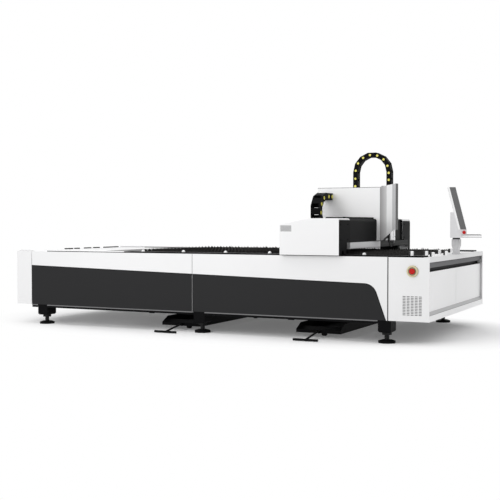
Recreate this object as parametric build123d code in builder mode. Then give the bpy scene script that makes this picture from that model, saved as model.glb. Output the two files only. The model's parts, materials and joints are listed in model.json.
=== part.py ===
"""Fiber laser cutting machine: flat bed, travelling gantry, cutting head, swivel console, scrap trolleys.

Millimetres, +Z up, +X along the bed towards the console, -Y towards the operator.
The origin is on the floor under the middle of the machine's box.
"""
import os
from math import atan2, cos, pi, radians, sin, tan

from build123d import *

os.makedirs("parts", exist_ok=True)

# Overall sizes
BED_LENGTH = 4500.0
BED_DEPTH = 2130.0
PANEL_BOTTOM = 206.0
PANEL_TOP = 767.0
CONSOLE_TURN = 14.0
CONSOLE_PIVOT = 27.0
CONSOLE_WIDTH = 410.0
TRAY_INSET = 14.0
TRAY_REACH = 204.0
HANDLE_REACH = 161.0
HOUSING_OVERHANG = 48.0
SHEET = 3.0
CLEARANCE = 0.3
OVERRUN = 20.0

TURN_COS = cos(radians(CONSOLE_TURN))
TURN_SIN = sin(radians(CONSOLE_TURN))
TRAY_HALF = CONSOLE_WIDTH / 2 - TRAY_INSET
CONSOLE_REACH = (TRAY_REACH + CONSOLE_PIVOT) * TURN_COS + TRAY_HALF * TURN_SIN - CONSOLE_PIVOT
X_RIGHT = (BED_LENGTH - CONSOLE_REACH) / 2
X_LEFT = X_RIGHT - BED_LENGTH
Y_FRONT = (HANDLE_REACH - BED_DEPTH - HOUSING_OVERHANG) / 2
Y_REAR = Y_FRONT + BED_DEPTH
Y_MID = Y_FRONT + BED_DEPTH / 2
FRONT_PLANE = Plane.XZ.offset(-Y_FRONT)
CENTRE_PLANE = Plane.XZ.offset(-Y_MID)

# Bed frame
BEAM_INSET = 40.0
BEAM_WIDTH = 120.0
BEAM_TOP = 690.0
BEAM_WALL = 10.0
BEAM_CORNER = 14.0
RIGHT_INSET = 60.0
CROSS_WIDTH = 100.0
CROSS_HEIGHT = 130.0

# Cutting table
TABLE_LEFT = 3165.0
TABLE_RIGHT = 200.0
SLAT_FRONT = 300.0
SLAT_COUNT = 25
SLAT_THICK = 5.0
SLAT_BOTTOM = 722.0
SLAT_TIP = 800.0
SLAT_TOOTH = 22.0
SLAT_TEETH = 20
SLAT_MARGIN = 70.0
COMB_THICK = 12.0
COMB_TOP = 756.0
COMB_INSET = 70.0
CHUTE_TOP = 585.0
CHUTE_BOTTOM = 214.0
CHUTE_SHEET = 4.0
CHUTE_THROAT = 400.0

# Legs
LEG_PLACES = (405.0, 2276.0, 4167.0)
LEG_INSET = 80.0
LEG_WIDTH = 120.0
LEG_DEPTH = 150.0
LEG_BOTTOM = 97.0
LEG_TAPER = 12.0
SCREW_DIAMETER = 42.0
NUT_FLATS = 78.0
NUT_HEIGHT = 24.0
PAD_DIAMETER = 155.0
PAD_RIM = 20.0
PAD_HEIGHT = 30.0
PAD_HUB = 92.0

# Front and rear panels
PANEL_GAP = 5.0
COLUMN_GAP = 10.0
COLUMN_LEFT = 195.0
SEAM = 2349.0
COLUMN_RIGHT = 373.0
SKIRT_TOP_LEFT = 620.0
SKIRT_TOP_RIGHT = 526.0
SKIRT_CORNER = 507.0
SKIRT_FOOT = 390.0
SKIRT_RADIUS = 120.0
RIB_HEIGHT = 30.0
RIB_INSET = 60.0
UPPER_RIB = 658.0
LOWER_RIB = 235.0
TRIM_HEIGHT = 10.0
TRIM_LAP = 3.0
GRILLE_CENTRE = 153.0
GRILLE_HEIGHT = 344.0
GRILLE_COLUMNS = 5
GRILLE_ROWS = 13
GRILLE_PITCH_X = 36.0
GRILLE_PITCH_Z = 13.4
GRILLE_SLOT = 27.0
GRILLE_SLOT_HEIGHT = 6.5

# Front emergency stop
STOP_PLACE = 150.0
STOP_HEIGHT = 646.0
COLLAR_DIAMETER = 102.0
COLLAR_DEPTH = 14.0
COLLAR_BEVEL = 5.0
STOP_HEAD = 50.0
STOP_HEAD_DEPTH = 16.0
STOP_FLOOR = 4.0
STOP_TRAVEL = 6.0
STOP_STEM = 20.0
STOP_STEM_LENGTH = 34.0
STOP_CROWN = 5.0
COLLAR_RING = 11.0

# Right end
END_RECESS = 25.0
CHANNEL_BOTTOM = 638.0
CHANNEL_TOP = 722.0
CHANNEL_DEPTH = 34.0
BAR_BOTTOM = 672.0
BAR_DEPTH = 35.0
BAR_ROUND = 8.0
TOP_BEAM_TOP = 768.0
TOP_BEAM_ROUND = 6.0
END_SEAM = 1054.0
KICK_SLOPE_BOTTOM = 259.0
KICK_TOP = 289.0
POST_RETURN = 30.0
END_RIB_TOP = 600.0

# Decks, rail covers and what stands on them
COVER_TOP = 780.0
COVER_WIDTH = 135.0
COVER_LIP = 15.0
COVER_END = 180.0
DECK_TOP = 769.0
DECK_INSET = 265.0
CAP_DIAMETER = 34.0
CAP_BASE = 3.0
CAP_PITCH = 469.0
CAP_FIRST = 626.0
CAP_COUNT = 6
CAP_INSET = 100.0
FINGER_WIDTH = 30.0
FINGER_THICK = 36.0
FINGER_HEIGHT = 40.0
FINGER_ROUND = 8.0
FINGER_NEAR_ROW = 40.0
FINGER_NEAR_FIRST = 236.0
FINGER_NEAR_COUNT = 3
FINGER_FAR_ROW = 180.0
FINGER_FAR_FIRST = 62.0
FINGER_FAR_COUNT = 3

# X guides and saddles
RAIL_INSET = 75.0
RAIL_WIDTH = 28.0
RAIL_HEIGHT = 26.0
RACK_INSET = 128.0
RACK_WIDTH = 26.0
RACK_HEIGHT = 30.0
BEARING_WIDTH = 60.0
BEARING_LENGTH = 110.0
BEARING_BOTTOM = 699.0
SADDLE_BOTTOM = 738.0
SADDLE_THICK = 20.0
SADDLE_LENGTH = 400.0
SADDLE_OUTER = 45.0
RISER_OUTER = 188.0
RISER_INNER = 256.0

# Gantry, measured from the right end of the bed
HOUSING_RIGHT = 814.0
HOUSING_LEFT = 1396.0
HOUSING_FLAT = 1087.0
HOUSING_SHOULDER = 1050.0
HOUSING_BOTTOM = 775.0
HOUSING_TOP = 1110.0
HOUSING_DEPTH = 282.0
HOUSING_CORNER = 20.0
HOUSING_PASS = 815.0
HOUSING_SKIRT = 66.0
HOUSING_LEG = 198.0
HOUSING_OPEN = 892.0
SIDE_RETURN = 10.0
SIDE_PANEL = 4.0
SIDE_ROUND = 25.0
VENT_LEFT = 1388.0
VENT_RIGHT = 1279.0
VENT_TOP = 1045.0
VENT_BOTTOM = 989.0
VENT_SLOTS = 6
VENT_SLOT_HEIGHT = 5.5
GANTRY_RIGHT = 828.0
GANTRY_LEFT = 1086.0
GANTRY_BOTTOM = 830.0
GANTRY_TOP = 1104.0
GANTRY_WALL = 8.0
GANTRY_CORNER = 30.0
GUIDE_DEPTH = 50.0
GUIDE_BOTTOM = 829.0
GUIDE_TOP = 887.0
GUIDE_END_GAP = 6.0
GUIDE_TEETH = 55
GUIDE_TOOTH = 7.0
GUIDE_CAP = 8.0
Y_RAIL_WIDTH = 24.0
Y_RAIL_HEIGHT = 20.0
Y_RAIL_INSET = 44.0
TROUGH_WALL = 26.0
TROUGH_LEFT = 1399.0
TROUGH_RIGHT = 1262.0

# Carriage
CARRIAGE_FRONT = 1050.0
CARRIAGE_DEPTH = 260.0
CARRIAGE_LEFT = 1461.0
CARRIAGE_RIGHT = 793.0
CARRIAGE_TOP = 1427.0
CARRIAGE_BOTTOM = 1108.0
LEG_INNER = 825.0
LEG_FOOT = 892.0
LEG_ROUND = 20.0
COVER_ROUND = 6.0
SLIDE_PLATE_BOTTOM = 1140.0
SLIDE_PLATE = 20.0
SLIDE_BLOCK = 56.0
SLIDE_BLOCK_LENGTH = 90.0
SLIDE_BLOCK_BOTTOM = 1112.0
HANGER_FOOT = 905.0

# Z column and cutting head
COLUMN_DEPTH = 112.0
COLUMN_SLANT = 64.0
COLUMN_SET_BACK = 22.0
COLUMN_CHANNEL = 57.0
COLUMN_EDGE = 33.0
COLUMN_EDGE_BACK = 12.0
COLUMN_PROJECTION = COLUMN_SLANT + COLUMN_CHANNEL + COLUMN_EDGE
COLUMN_TOP_LEFT = 1429.0
COLUMN_TOP_RIGHT = 1461.0
COLUMN_FOOT = 892.0
COLUMN_SHOULDER = 1000.0
COLUMN_FOOT_WIDTH = 20.0
COLUMN_DIAGONAL = 114.0
HEAD_PLACE = 694.0
HEAD_SETBACK = 68.0
NOZZLE_TIP = 829.0
NOZZLE_TIP_RADIUS = 9.0
NOZZLE_RADIUS = 20.0
NOZZLE_HEIGHT = 24.0
HEAD_CONE_RADIUS = 35.0
HEAD_CONE_HEIGHT = 44.0
HEAD_RADIUS = 38.0
HEAD_NECK = 30.0
HEAD_GROOVE = 5.0
HEAD_GROOVE_HEIGHT = 8.0
HEAD_TOP = 1072.0
Z_PLATE_THICK = 18.0
Z_PLATE_WIDTH = 60.0
Z_PLATE_GAP = 0.6
Z_PLATE_TOP = 1440.0
Z_SHELF = 12.0

# Cable chains
LINK_GAP = 0.3
ARCH_LEFT = 1062.0
ARCH_RIGHT = 712.0
ARCH_CENTRE = 1579.0
ARCH_LINKS = 7
ARCH_LEG_LINKS = 2
ARCH_THICK = 48.0
ARCH_WIDTH = 76.0
ARCH_SETBACK = 30.0
LOOP_LEFT = 1392.0
LOOP_RIGHT = 1294.0
LOOP_THICK = 70.0
LOOP_RADIUS = 150.0
LOOP_CENTRE_HEIGHT = 1185.0
LOOP_CENTRE = 870.0
LOOP_LINKS = 5
LOOP_UPPER_LINKS = 2
LOOP_LOWER_LENGTH = 470.0
LOOP_LOWER_LINKS = 5
CHAIN_PLATE = 13.0
CHAIN_BAR = 8.0
CHAIN_BAR_SHARE = 0.72
PIN_PROUD = 2.0
ARCH_PIN = 12.0
LOOP_PIN = 19.0
PIN_SIDES = 8

# Console
POST_TOP = 911.0
POST_TOP_WIDTH = 72.0
POST_NECK_WIDTH = 46.0
POST_NECK = 815.0
POST_SHOULDER = 850.0
POST_DEPTH = 86.0
POST_FLANGE = 12.0
POST_FLANGE_DEPTH = 90.0
PIVOT_DIAMETER = 44.0
PIVOT_LENGTH = 40.0
SWIVEL_PLATE = 16.0
HOUSING_BACK_X = -86.0
HOUSING_TOP_Z = 1168.0
HOUSING_FRONT_X = 20.0
BROW_FRONT_X = 66.0
MONITOR_BOTTOM_Z = 1006.0
MONITOR_TOP_Z = 1405.0
MONITOR_BOTTOM_X = 8.0
MONITOR_THICK = 56.0
MONITOR_LEAN = 103.0
MONITOR_BACK = 18.0
BEZEL = 24.0
SCREEN_DEPTH = 4.0
TRAY_BOTTOM = 929.0
TRAY_TOP = 955.0
TRAY_WALL = 4.0
KEY_MARGIN = 16.0
KEY_HEIGHT = 14.0
SMALL_STOP_HEIGHT = 979.0
SMALL_STOP_X = 42.0
SMALL_HEAD = 32.0
SMALL_HEAD_DEPTH = 18.0
SMALL_STEM = 16.0
SMALL_STEM_LENGTH = 30.0
SMALL_TRAVEL = 4.0
SMALL_CROWN = 4.0

# Scrap trolleys
TROLLEY_PLACES = (2563.0, 1095.0)
TUB_WIDTH = 446.0
TUB_BOTTOM = 42.0
TUB_TOP = 126.0
TUB_FRONT = 160.0
TUB_LENGTH = 1500.0
TUB_LIP = 30.0
TUB_SLOPE = 110.0
TUB_WALL = 4.0
WHEEL_RADIUS = 19.0
WHEEL_WIDTH = 34.0
AXLE_RADIUS = 6.0
FRONT_WHEEL_PLACE = 320.0
REAR_WHEEL_PLACE = 1520.0
REAR_TRACK = 340.0
FORK_THICK = 6.0
FORK_WIDTH = 30.0
FORK_GAP = 1.0
TOW_PIVOT_FRONT = 18.0
TOW_PIVOT_HEIGHT = 57.0
TOW_PIN_RADIUS = 6.0
TOW_EYE_RADIUS = 13.0
TOW_EYE_WIDTH = 22.0
TOW_LUG = 8.0
TOW_STEM_RADIUS = 9.0
TOW_BAR_RADIUS = 11.0
TOW_BAR_WIDTH = 241.0
TOW_BAR_HEIGHT = 14.0
TAB_WIDTH = 60.0
TAB_HEIGHT = 44.0
TAB_THICK = 8.0
TAB_PLACES = (2859.0, 1335.0)


def from_right(distance):
    """X of a place that lies so far to the left of the bed's right end."""
    return X_RIGHT - distance


def from_front(distance):
    """Y of a place that lies so far behind the bed's front."""
    return Y_FRONT + distance


def box_between(x_range, y_range, z_range, mode=Mode.ADD):
    """A block between two corners, in the block that is open."""
    size = [high - low for low, high in (x_range, y_range, z_range)]
    middle = [(high + low) / 2 for low, high in (x_range, y_range, z_range)]
    with Locations(tuple(middle)):
        Box(*size, mode=mode)


def outline(*points):
    """A closed straight-sided face in the sketch that is open."""
    with BuildLine() as border:
        Polyline(*points, close=True)
    make_face(border.edges())


def rounded_tube(width, height, wall, corner):
    """A hollow rectangular section in the sketch that is open."""
    RectangleRounded(width, height, corner)
    RectangleRounded(width - 2 * wall, height - 2 * wall, corner - wall, mode=Mode.SUBTRACT)


# Welded bed frame
BEAM_HEIGHT = BEAM_TOP - PANEL_BOTTOM
BEAM_MIDDLE = (BEAM_TOP + PANEL_BOTTOM) / 2
BEAM_OUTER = BEAM_INSET
BEAM_INNER = BEAM_INSET + BEAM_WIDTH
INNER_SPAN = BED_DEPTH - 2 * BEAM_INNER

with BuildPart() as side_beams:
    with BuildSketch(Plane.YZ.offset(X_LEFT + BEAM_INSET)):
        with Locations((from_front(BEAM_OUTER + BEAM_WIDTH / 2), BEAM_MIDDLE)):
            rounded_tube(BEAM_WIDTH, BEAM_HEIGHT, BEAM_WALL, BEAM_CORNER)
    extrude(amount=BED_LENGTH - BEAM_INSET - RIGHT_INSET)
    mirror(about=CENTRE_PLANE)
side_beams.part.label = "side_beams"

with BuildPart() as end_beams:
    with BuildSketch(Plane.XZ.offset(-from_front(BEAM_INNER))):
        with Locations(
            (X_LEFT + BEAM_INSET + BEAM_WIDTH / 2, BEAM_MIDDLE),
            (from_right(RIGHT_INSET + BEAM_WIDTH / 2), BEAM_MIDDLE),
        ):
            rounded_tube(BEAM_WIDTH, BEAM_HEIGHT, BEAM_WALL, BEAM_CORNER)
    extrude(amount=-INNER_SPAN)
end_beams.part.label = "end_beams"

CROSS_PLACES = (
    TABLE_LEFT - CROSS_WIDTH / 2,
    (TABLE_LEFT + TABLE_RIGHT) / 2,
    TABLE_RIGHT + CROSS_WIDTH / 2,
)
with BuildPart() as cross_beams:
    with BuildSketch(Plane.XZ.offset(-from_front(BEAM_INNER))):
        with Locations(*[(from_right(place), BEAM_TOP - CROSS_HEIGHT / 2) for place in CROSS_PLACES]):
            rounded_tube(CROSS_WIDTH, CROSS_HEIGHT, BEAM_WALL, BEAM_CORNER)
    extrude(amount=-INNER_SPAN)
cross_beams.part.label = "cross_beams"

# Slanted plates that lead scrap down to each trolley
with BuildPart() as chute_plates:
    with BuildSketch(Plane.XZ.offset(-from_front(BEAM_INNER))):
        bays = zip(TROLLEY_PLACES, CROSS_PLACES[:-1], CROSS_PLACES[1:])
        for trolley_place, left_cross, right_cross in bays:
            throat_left = from_right(trolley_place) - CHUTE_THROAT / 2
            throat_right = from_right(trolley_place) + CHUTE_THROAT / 2
            mouth_left = from_right(left_cross - CROSS_WIDTH / 2)
            mouth_right = from_right(right_cross + CROSS_WIDTH / 2)
            outline(
                (mouth_left, CHUTE_TOP),
                (throat_left, CHUTE_BOTTOM),
                (throat_left + CHUTE_SHEET, CHUTE_BOTTOM),
                (mouth_left, CHUTE_TOP + CHUTE_SHEET),
            )
            outline(
                (mouth_right, CHUTE_TOP),
                (throat_right, CHUTE_BOTTOM),
                (throat_right - CHUTE_SHEET, CHUTE_BOTTOM),
                (mouth_right, CHUTE_TOP + CHUTE_SHEET),
            )
    extrude(amount=-INNER_SPAN)
chute_plates.part.label = "chute_plates"

# Slats and the notched combs that they stand in
SLAT_LENGTH = BED_DEPTH - 2 * SLAT_FRONT
SLAT_PITCH = (TABLE_LEFT - TABLE_RIGHT - 2 * SLAT_MARGIN) / (SLAT_COUNT - 1)
SLAT_PLACES = [TABLE_RIGHT + SLAT_MARGIN + i * SLAT_PITCH for i in range(SLAT_COUNT)]
TOOTH_PITCH = SLAT_LENGTH / SLAT_TEETH
COMB_PLACES = (
    SLAT_FRONT + COMB_INSET,
    BED_DEPTH / 2,
    BED_DEPTH - SLAT_FRONT - COMB_INSET,
)

with BuildPart() as slat_combs:
    for place in COMB_PLACES:
        box_between(
            (from_right(TABLE_LEFT), from_right(TABLE_RIGHT)),
            (from_front(place) - COMB_THICK / 2, from_front(place) + COMB_THICK / 2),
            (BEAM_TOP, COMB_TOP),
        )
    notch = SLAT_THICK / 2 + CLEARANCE
    for place in SLAT_PLACES:
        box_between(
            (from_right(place) - notch, from_right(place) + notch),
            (from_front(SLAT_FRONT), from_front(SLAT_FRONT + SLAT_LENGTH)),
            (SLAT_BOTTOM, COMB_TOP + OVERRUN),
            mode=Mode.SUBTRACT,
        )
slat_combs.part.label = "slat_combs"

with BuildPart() as slats:
    teeth = []
    for tooth in range(SLAT_TEETH):
        start = from_front(SLAT_FRONT) + tooth * TOOTH_PITCH
        teeth.append((start, SLAT_TIP - SLAT_TOOTH))
        teeth.append((start + TOOTH_PITCH / 2, SLAT_TIP))
    slat_end = from_front(SLAT_FRONT + SLAT_LENGTH)
    for place in SLAT_PLACES:
        with BuildSketch(Plane.YZ.offset(from_right(place) - SLAT_THICK / 2)):
            outline(
                (from_front(SLAT_FRONT), SLAT_BOTTOM),
                *teeth,
                (slat_end, SLAT_TIP - SLAT_TOOTH),
                (slat_end, SLAT_BOTTOM),
            )
        extrude(amount=SLAT_THICK)
slats.part.label = "slats"

# Legs, levelling screws and foot pads
LEG_POINTS = [
    (from_right(place), y) for place in LEG_PLACES for y in (from_front(LEG_INSET), Y_REAR - LEG_INSET)
]
with BuildPart() as leg_blocks:
    with BuildSketch(Plane.XY.offset(LEG_BOTTOM + LEG_TAPER)):
        with Locations(*LEG_POINTS):
            Rectangle(LEG_WIDTH, LEG_DEPTH)
    extrude(amount=PANEL_BOTTOM - LEG_BOTTOM - LEG_TAPER)
    for point in LEG_POINTS:
        with BuildSketch(Plane.XY.offset(LEG_BOTTOM + LEG_TAPER)):
            with Locations(point):
                Rectangle(LEG_WIDTH, LEG_DEPTH)
        with BuildSketch(Plane.XY.offset(LEG_BOTTOM)):
            with Locations(point):
                Rectangle(LEG_WIDTH - 2 * LEG_TAPER, LEG_DEPTH - LEG_TAPER)
        loft()
    for place in TAB_PLACES:
        box_between(
            (from_right(place) - TAB_WIDTH / 2, from_right(place) + TAB_WIDTH / 2),
            (from_front(LEG_INSET) - TAB_THICK / 2, from_front(LEG_INSET) + TAB_THICK / 2),
            (PANEL_BOTTOM - TAB_HEIGHT, PANEL_BOTTOM),
        )
leg_blocks.part.label = "leg_blocks"

with BuildPart() as levelling_screws:
    with BuildSketch(Plane.XY.offset(PAD_HEIGHT)):
        with Locations(*LEG_POINTS):
            Circle(SCREW_DIAMETER / 2)
    extrude(amount=LEG_BOTTOM - PAD_HEIGHT)
    with BuildSketch(Plane.XY.offset(LEG_BOTTOM - NUT_HEIGHT)):
        with Locations(*LEG_POINTS):
            RegularPolygon(NUT_FLATS / 2, 6, major_radius=False)
    extrude(amount=NUT_HEIGHT)
levelling_screws.part.label = "levelling_screws"

with BuildPart() as foot_pads:
    with BuildSketch(Plane.XY):
        with Locations(*LEG_POINTS):
            Circle(PAD_DIAMETER / 2)
    extrude(amount=PAD_RIM)
    for point in LEG_POINTS:
        with BuildSketch(Plane.XY.offset(PAD_RIM)):
            with Locations(point):
                Circle(PAD_DIAMETER / 2)
        with BuildSketch(Plane.XY.offset(PAD_HEIGHT)):
            with Locations(point):
                Circle(PAD_HUB / 2)
        loft()
foot_pads.part.label = "foot_pads"


# Front and rear panels
SKIRT_LEFT_X = X_LEFT + COLUMN_LEFT
SEAM_X = from_right(SEAM)
CORNER_X = from_right(SKIRT_CORNER)
FOOT_X = from_right(SKIRT_FOOT)
COLUMN_X = from_right(COLUMN_RIGHT)
HALF_GAP = PANEL_GAP / 2
HALF_COLUMN_GAP = COLUMN_GAP / 2


def skirt_line(x):
    """Height of the sloping joint between the white panels and the dark skirt."""
    share = (x - SKIRT_LEFT_X) / (CORNER_X - SKIRT_LEFT_X)
    return SKIRT_TOP_LEFT + share * (SKIRT_TOP_RIGHT - SKIRT_TOP_LEFT)


def draw_upper_left():
    left = SKIRT_LEFT_X + HALF_GAP
    right = SEAM_X - HALF_GAP
    outline(
        (left, PANEL_TOP),
        (right, PANEL_TOP),
        (right, skirt_line(right) + HALF_GAP),
        (left, skirt_line(left) + HALF_GAP),
    )


def draw_upper_right():
    left = SEAM_X + HALF_GAP
    right = COLUMN_X - HALF_COLUMN_GAP
    corner = (CORNER_X + HALF_GAP, skirt_line(CORNER_X) + HALF_GAP)
    outline(
        (left, PANEL_TOP),
        (right, PANEL_TOP),
        (right, PANEL_BOTTOM),
        (FOOT_X + HALF_GAP, PANEL_BOTTOM),
        corner,
        (left, skirt_line(left) + HALF_GAP),
    )
    fillet(vertices().sort_by_distance(corner)[0], SKIRT_RADIUS + HALF_GAP)


def draw_skirt_left():
    left = SKIRT_LEFT_X + HALF_GAP
    right = SEAM_X - HALF_GAP
    outline(
        (left, PANEL_BOTTOM),
        (right, PANEL_BOTTOM),
        (right, skirt_line(right) - HALF_GAP),
        (left, skirt_line(left) - HALF_GAP),
    )


def draw_skirt_right():
    left = SEAM_X + HALF_GAP
    corner = (CORNER_X - HALF_GAP, skirt_line(CORNER_X) - HALF_GAP)
    outline(
        (left, PANEL_BOTTOM),
        (FOOT_X - HALF_GAP, PANEL_BOTTOM),
        corner,
        (left, skirt_line(left) - HALF_GAP),
    )
    fillet(vertices().sort_by_distance(corner)[0], SKIRT_RADIUS - HALF_GAP)


def draw_left_column():
    outline(
        (X_LEFT, PANEL_BOTTOM),
        (SKIRT_LEFT_X - HALF_GAP, PANEL_BOTTOM),
        (SKIRT_LEFT_X - HALF_GAP, PANEL_TOP),
        (X_LEFT, PANEL_TOP),
    )


def draw_right_column():
    outline(
        (COLUMN_X + HALF_COLUMN_GAP, PANEL_BOTTOM),
        (X_RIGHT, PANEL_BOTTOM),
        (X_RIGHT, PANEL_TOP),
        (COLUMN_X + HALF_COLUMN_GAP, PANEL_TOP),
    )


def front_sheet(draw, x_range, rib_height, flange=False):
    """A sheet panel with a stiffening rib to the beam behind it, and a folded top flange if asked."""
    with BuildSketch(FRONT_PLANE) as face:
        draw()
    extrude(face.sketch, amount=-SHEET)
    box_between(
        (x_range[0] + RIB_INSET, x_range[1] - RIB_INSET),
        (from_front(SHEET), from_front(BEAM_INSET)),
        (rib_height, rib_height + RIB_HEIGHT),
    )
    if flange:
        box_between(
            (x_range[0] + HALF_GAP, x_range[1] - HALF_GAP),
            (from_front(SHEET), from_front(BEAM_INSET)),
            (PANEL_TOP - SHEET, PANEL_TOP),
        )


UPPER_LEFT_RANGE = (SKIRT_LEFT_X, SEAM_X)
UPPER_RIGHT_RANGE = (SEAM_X, COLUMN_X - HALF_COLUMN_GAP)
SKIRT_RIGHT_RANGE = (SEAM_X, CORNER_X)
LEFT_COLUMN_RANGE = (X_LEFT + BEAM_INSET - RIB_INSET, SKIRT_LEFT_X)
RIGHT_COLUMN_RANGE = (COLUMN_X, X_RIGHT - RIGHT_INSET + RIB_INSET)

with BuildPart() as front_upper_panel_left:
    front_sheet(draw_upper_left, UPPER_LEFT_RANGE, UPPER_RIB, flange=True)
front_upper_panel_left.part.label = "front_upper_panel_left"

with BuildPart() as front_upper_panel_right:
    front_sheet(draw_upper_right, UPPER_RIGHT_RANGE, UPPER_RIB, flange=True)
front_upper_panel_right.part.label = "front_upper_panel_right"

with BuildPart() as front_skirt_left:
    front_sheet(draw_skirt_left, UPPER_LEFT_RANGE, LOWER_RIB)
front_skirt_left.part.label = "front_skirt_left"

with BuildPart() as front_skirt_right:
    front_sheet(draw_skirt_right, SKIRT_RIGHT_RANGE, LOWER_RIB)
front_skirt_right.part.label = "front_skirt_right"

with BuildPart() as front_left_column:
    front_sheet(draw_left_column, LEFT_COLUMN_RANGE, UPPER_RIB)
front_left_column.part.label = "front_left_column"

with BuildPart() as front_right_column:
    front_sheet(draw_right_column, RIGHT_COLUMN_RANGE, UPPER_RIB)
    with BuildSketch(FRONT_PLANE):
        with Locations((from_right(GRILLE_CENTRE), GRILLE_HEIGHT)):
            with GridLocations(GRILLE_PITCH_X, GRILLE_PITCH_Z, GRILLE_COLUMNS, GRILLE_ROWS):
                Rectangle(GRILLE_SLOT, GRILLE_SLOT_HEIGHT)
        with Locations((from_right(STOP_PLACE), STOP_HEIGHT)):
            Circle(STOP_STEM / 2 + CLEARANCE)
    extrude(amount=-SHEET, mode=Mode.SUBTRACT)
front_right_column.part.label = "front_right_column"

with BuildPart() as rear_upper_panels:
    mirror(front_upper_panel_left.part, about=CENTRE_PLANE)
    mirror(front_upper_panel_right.part, about=CENTRE_PLANE)
rear_upper_panels.part.label = "rear_upper_panels"

with BuildPart() as rear_skirts:
    mirror(front_skirt_left.part, about=CENTRE_PLANE)
    mirror(front_skirt_right.part, about=CENTRE_PLANE)
rear_skirts.part.label = "rear_skirts"

with BuildPart() as rear_columns:
    front_sheet(draw_left_column, LEFT_COLUMN_RANGE, UPPER_RIB)
    front_sheet(draw_right_column, RIGHT_COLUMN_RANGE, UPPER_RIB)
    box_between(
        (X_RIGHT - SHEET, X_RIGHT),
        (from_front(SHEET), from_front(POST_RETURN)),
        (PANEL_BOTTOM, CHANNEL_TOP),
    )
    mirror(about=CENTRE_PLANE, mode=Mode.REPLACE)
rear_columns.part.label = "rear_columns"

# Light strips folded under the skirts
with BuildPart() as skirt_trims:
    for left, right in (UPPER_LEFT_RANGE, (SEAM_X, FOOT_X)):
        box_between(
            (left + HALF_GAP, right - HALF_GAP),
            (from_front(0), from_front(SHEET)),
            (PANEL_BOTTOM - TRIM_HEIGHT, PANEL_BOTTOM),
        )
        box_between(
            (left + HALF_GAP, right - HALF_GAP),
            (from_front(SHEET), from_front(BEAM_INSET + BEAM_CORNER + TRIM_LAP)),
            (PANEL_BOTTOM - SHEET, PANEL_BOTTOM),
        )
    for place in LEG_PLACES:
        box_between(
            (from_right(place) - LEG_WIDTH / 2 - HALF_GAP, from_right(place) + LEG_WIDTH / 2 + HALF_GAP),
            (from_front(-OVERRUN), from_front(BEAM_INNER)),
            (PANEL_BOTTOM - TRIM_HEIGHT - OVERRUN, PANEL_BOTTOM + OVERRUN),
            mode=Mode.SUBTRACT,
        )
    mirror(about=CENTRE_PLANE)
skirt_trims.part.label = "skirt_trims"

# Left end
with BuildPart() as left_end_panel:
    box_between(
        (X_LEFT, X_LEFT + SHEET),
        (from_front(SHEET), Y_REAR - SHEET),
        (PANEL_BOTTOM, PANEL_TOP),
    )
    for rib_height in (LOWER_RIB, UPPER_RIB):
        box_between(
            (X_LEFT + SHEET, X_LEFT + BEAM_INSET),
            (from_front(BEAM_INNER + RIB_INSET), Y_REAR - BEAM_INNER - RIB_INSET),
            (rib_height, rib_height + RIB_HEIGHT),
        )
left_end_panel.part.label = "left_end_panel"

# Right end: two panels, kick plate, dark recess with its rail, and the top beam
END_START = from_front(SHEET)
END_STOP = Y_REAR - SHEET
RIB_START = from_front(BEAM_INNER + RIB_INSET)
RIB_STOP = Y_REAR - BEAM_INNER - RIB_INSET
PANEL_FACE = X_RIGHT - END_RECESS
BEAM_FACE = X_RIGHT - RIGHT_INSET
SEAM_Y = from_front(END_SEAM)

with BuildPart() as right_end_panels:
    for start, stop in ((END_START, SEAM_Y - HALF_GAP), (SEAM_Y + HALF_GAP, END_STOP)):
        box_between((PANEL_FACE - SHEET, PANEL_FACE), (start, stop), (KICK_TOP + CLEARANCE, CHANNEL_BOTTOM))
        box_between(
            (BEAM_FACE, PANEL_FACE - SHEET),
            (max(start, RIB_START), min(stop, RIB_STOP)),
            (END_RIB_TOP - RIB_HEIGHT, END_RIB_TOP),
        )
    kick_stop = Y_REAR - POST_RETURN - HALF_GAP
    with BuildSketch(Plane.XZ.offset(-END_START)):
        outline(
            (X_RIGHT, PANEL_BOTTOM),
            (X_RIGHT, KICK_SLOPE_BOTTOM),
            (PANEL_FACE, KICK_TOP),
            (PANEL_FACE - SHEET, KICK_TOP),
            (PANEL_FACE - SHEET, KICK_TOP - SHEET),
            (X_RIGHT - SHEET, KICK_SLOPE_BOTTOM - SHEET),
            (X_RIGHT - SHEET, PANEL_BOTTOM),
        )
    extrude(amount=-(kick_stop - END_START))
    box_between(
        (BEAM_FACE, X_RIGHT - SHEET),
        (RIB_START, kick_stop - RIB_INSET),
        (PANEL_BOTTOM + SHEET, PANEL_BOTTOM + SHEET + RIB_HEIGHT),
    )
right_end_panels.part.label = "right_end_panels"

with BuildPart() as end_recess_rails:
    with BuildSketch(Plane.XZ.offset(-END_START)):
        outline(
            (BEAM_FACE, CHANNEL_BOTTOM),
            (BEAM_FACE + CHANNEL_DEPTH, CHANNEL_BOTTOM),
            (BEAM_FACE + CHANNEL_DEPTH, CHANNEL_BOTTOM + SHEET),
            (BEAM_FACE + SHEET, CHANNEL_BOTTOM + SHEET),
            (BEAM_FACE + SHEET, CHANNEL_TOP - SHEET),
            (BEAM_FACE + CHANNEL_DEPTH, CHANNEL_TOP - SHEET),
            (BEAM_FACE + CHANNEL_DEPTH, CHANNEL_TOP),
            (BEAM_FACE, CHANNEL_TOP),
        )
    extrude(amount=-(END_STOP - END_START))
    bar_height = CHANNEL_TOP - SHEET - CLEARANCE - BAR_BOTTOM
    with BuildSketch(Plane.XZ.offset(-END_START)):
        with Locations(
            (BEAM_FACE + SHEET + CLEARANCE + BAR_DEPTH / 2, BAR_BOTTOM + bar_height / 2),
        ):
            RectangleRounded(BAR_DEPTH, bar_height, BAR_ROUND)
    extrude(amount=-(END_STOP - END_START))
end_recess_rails.part.label = "end_recess_rails"

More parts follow.
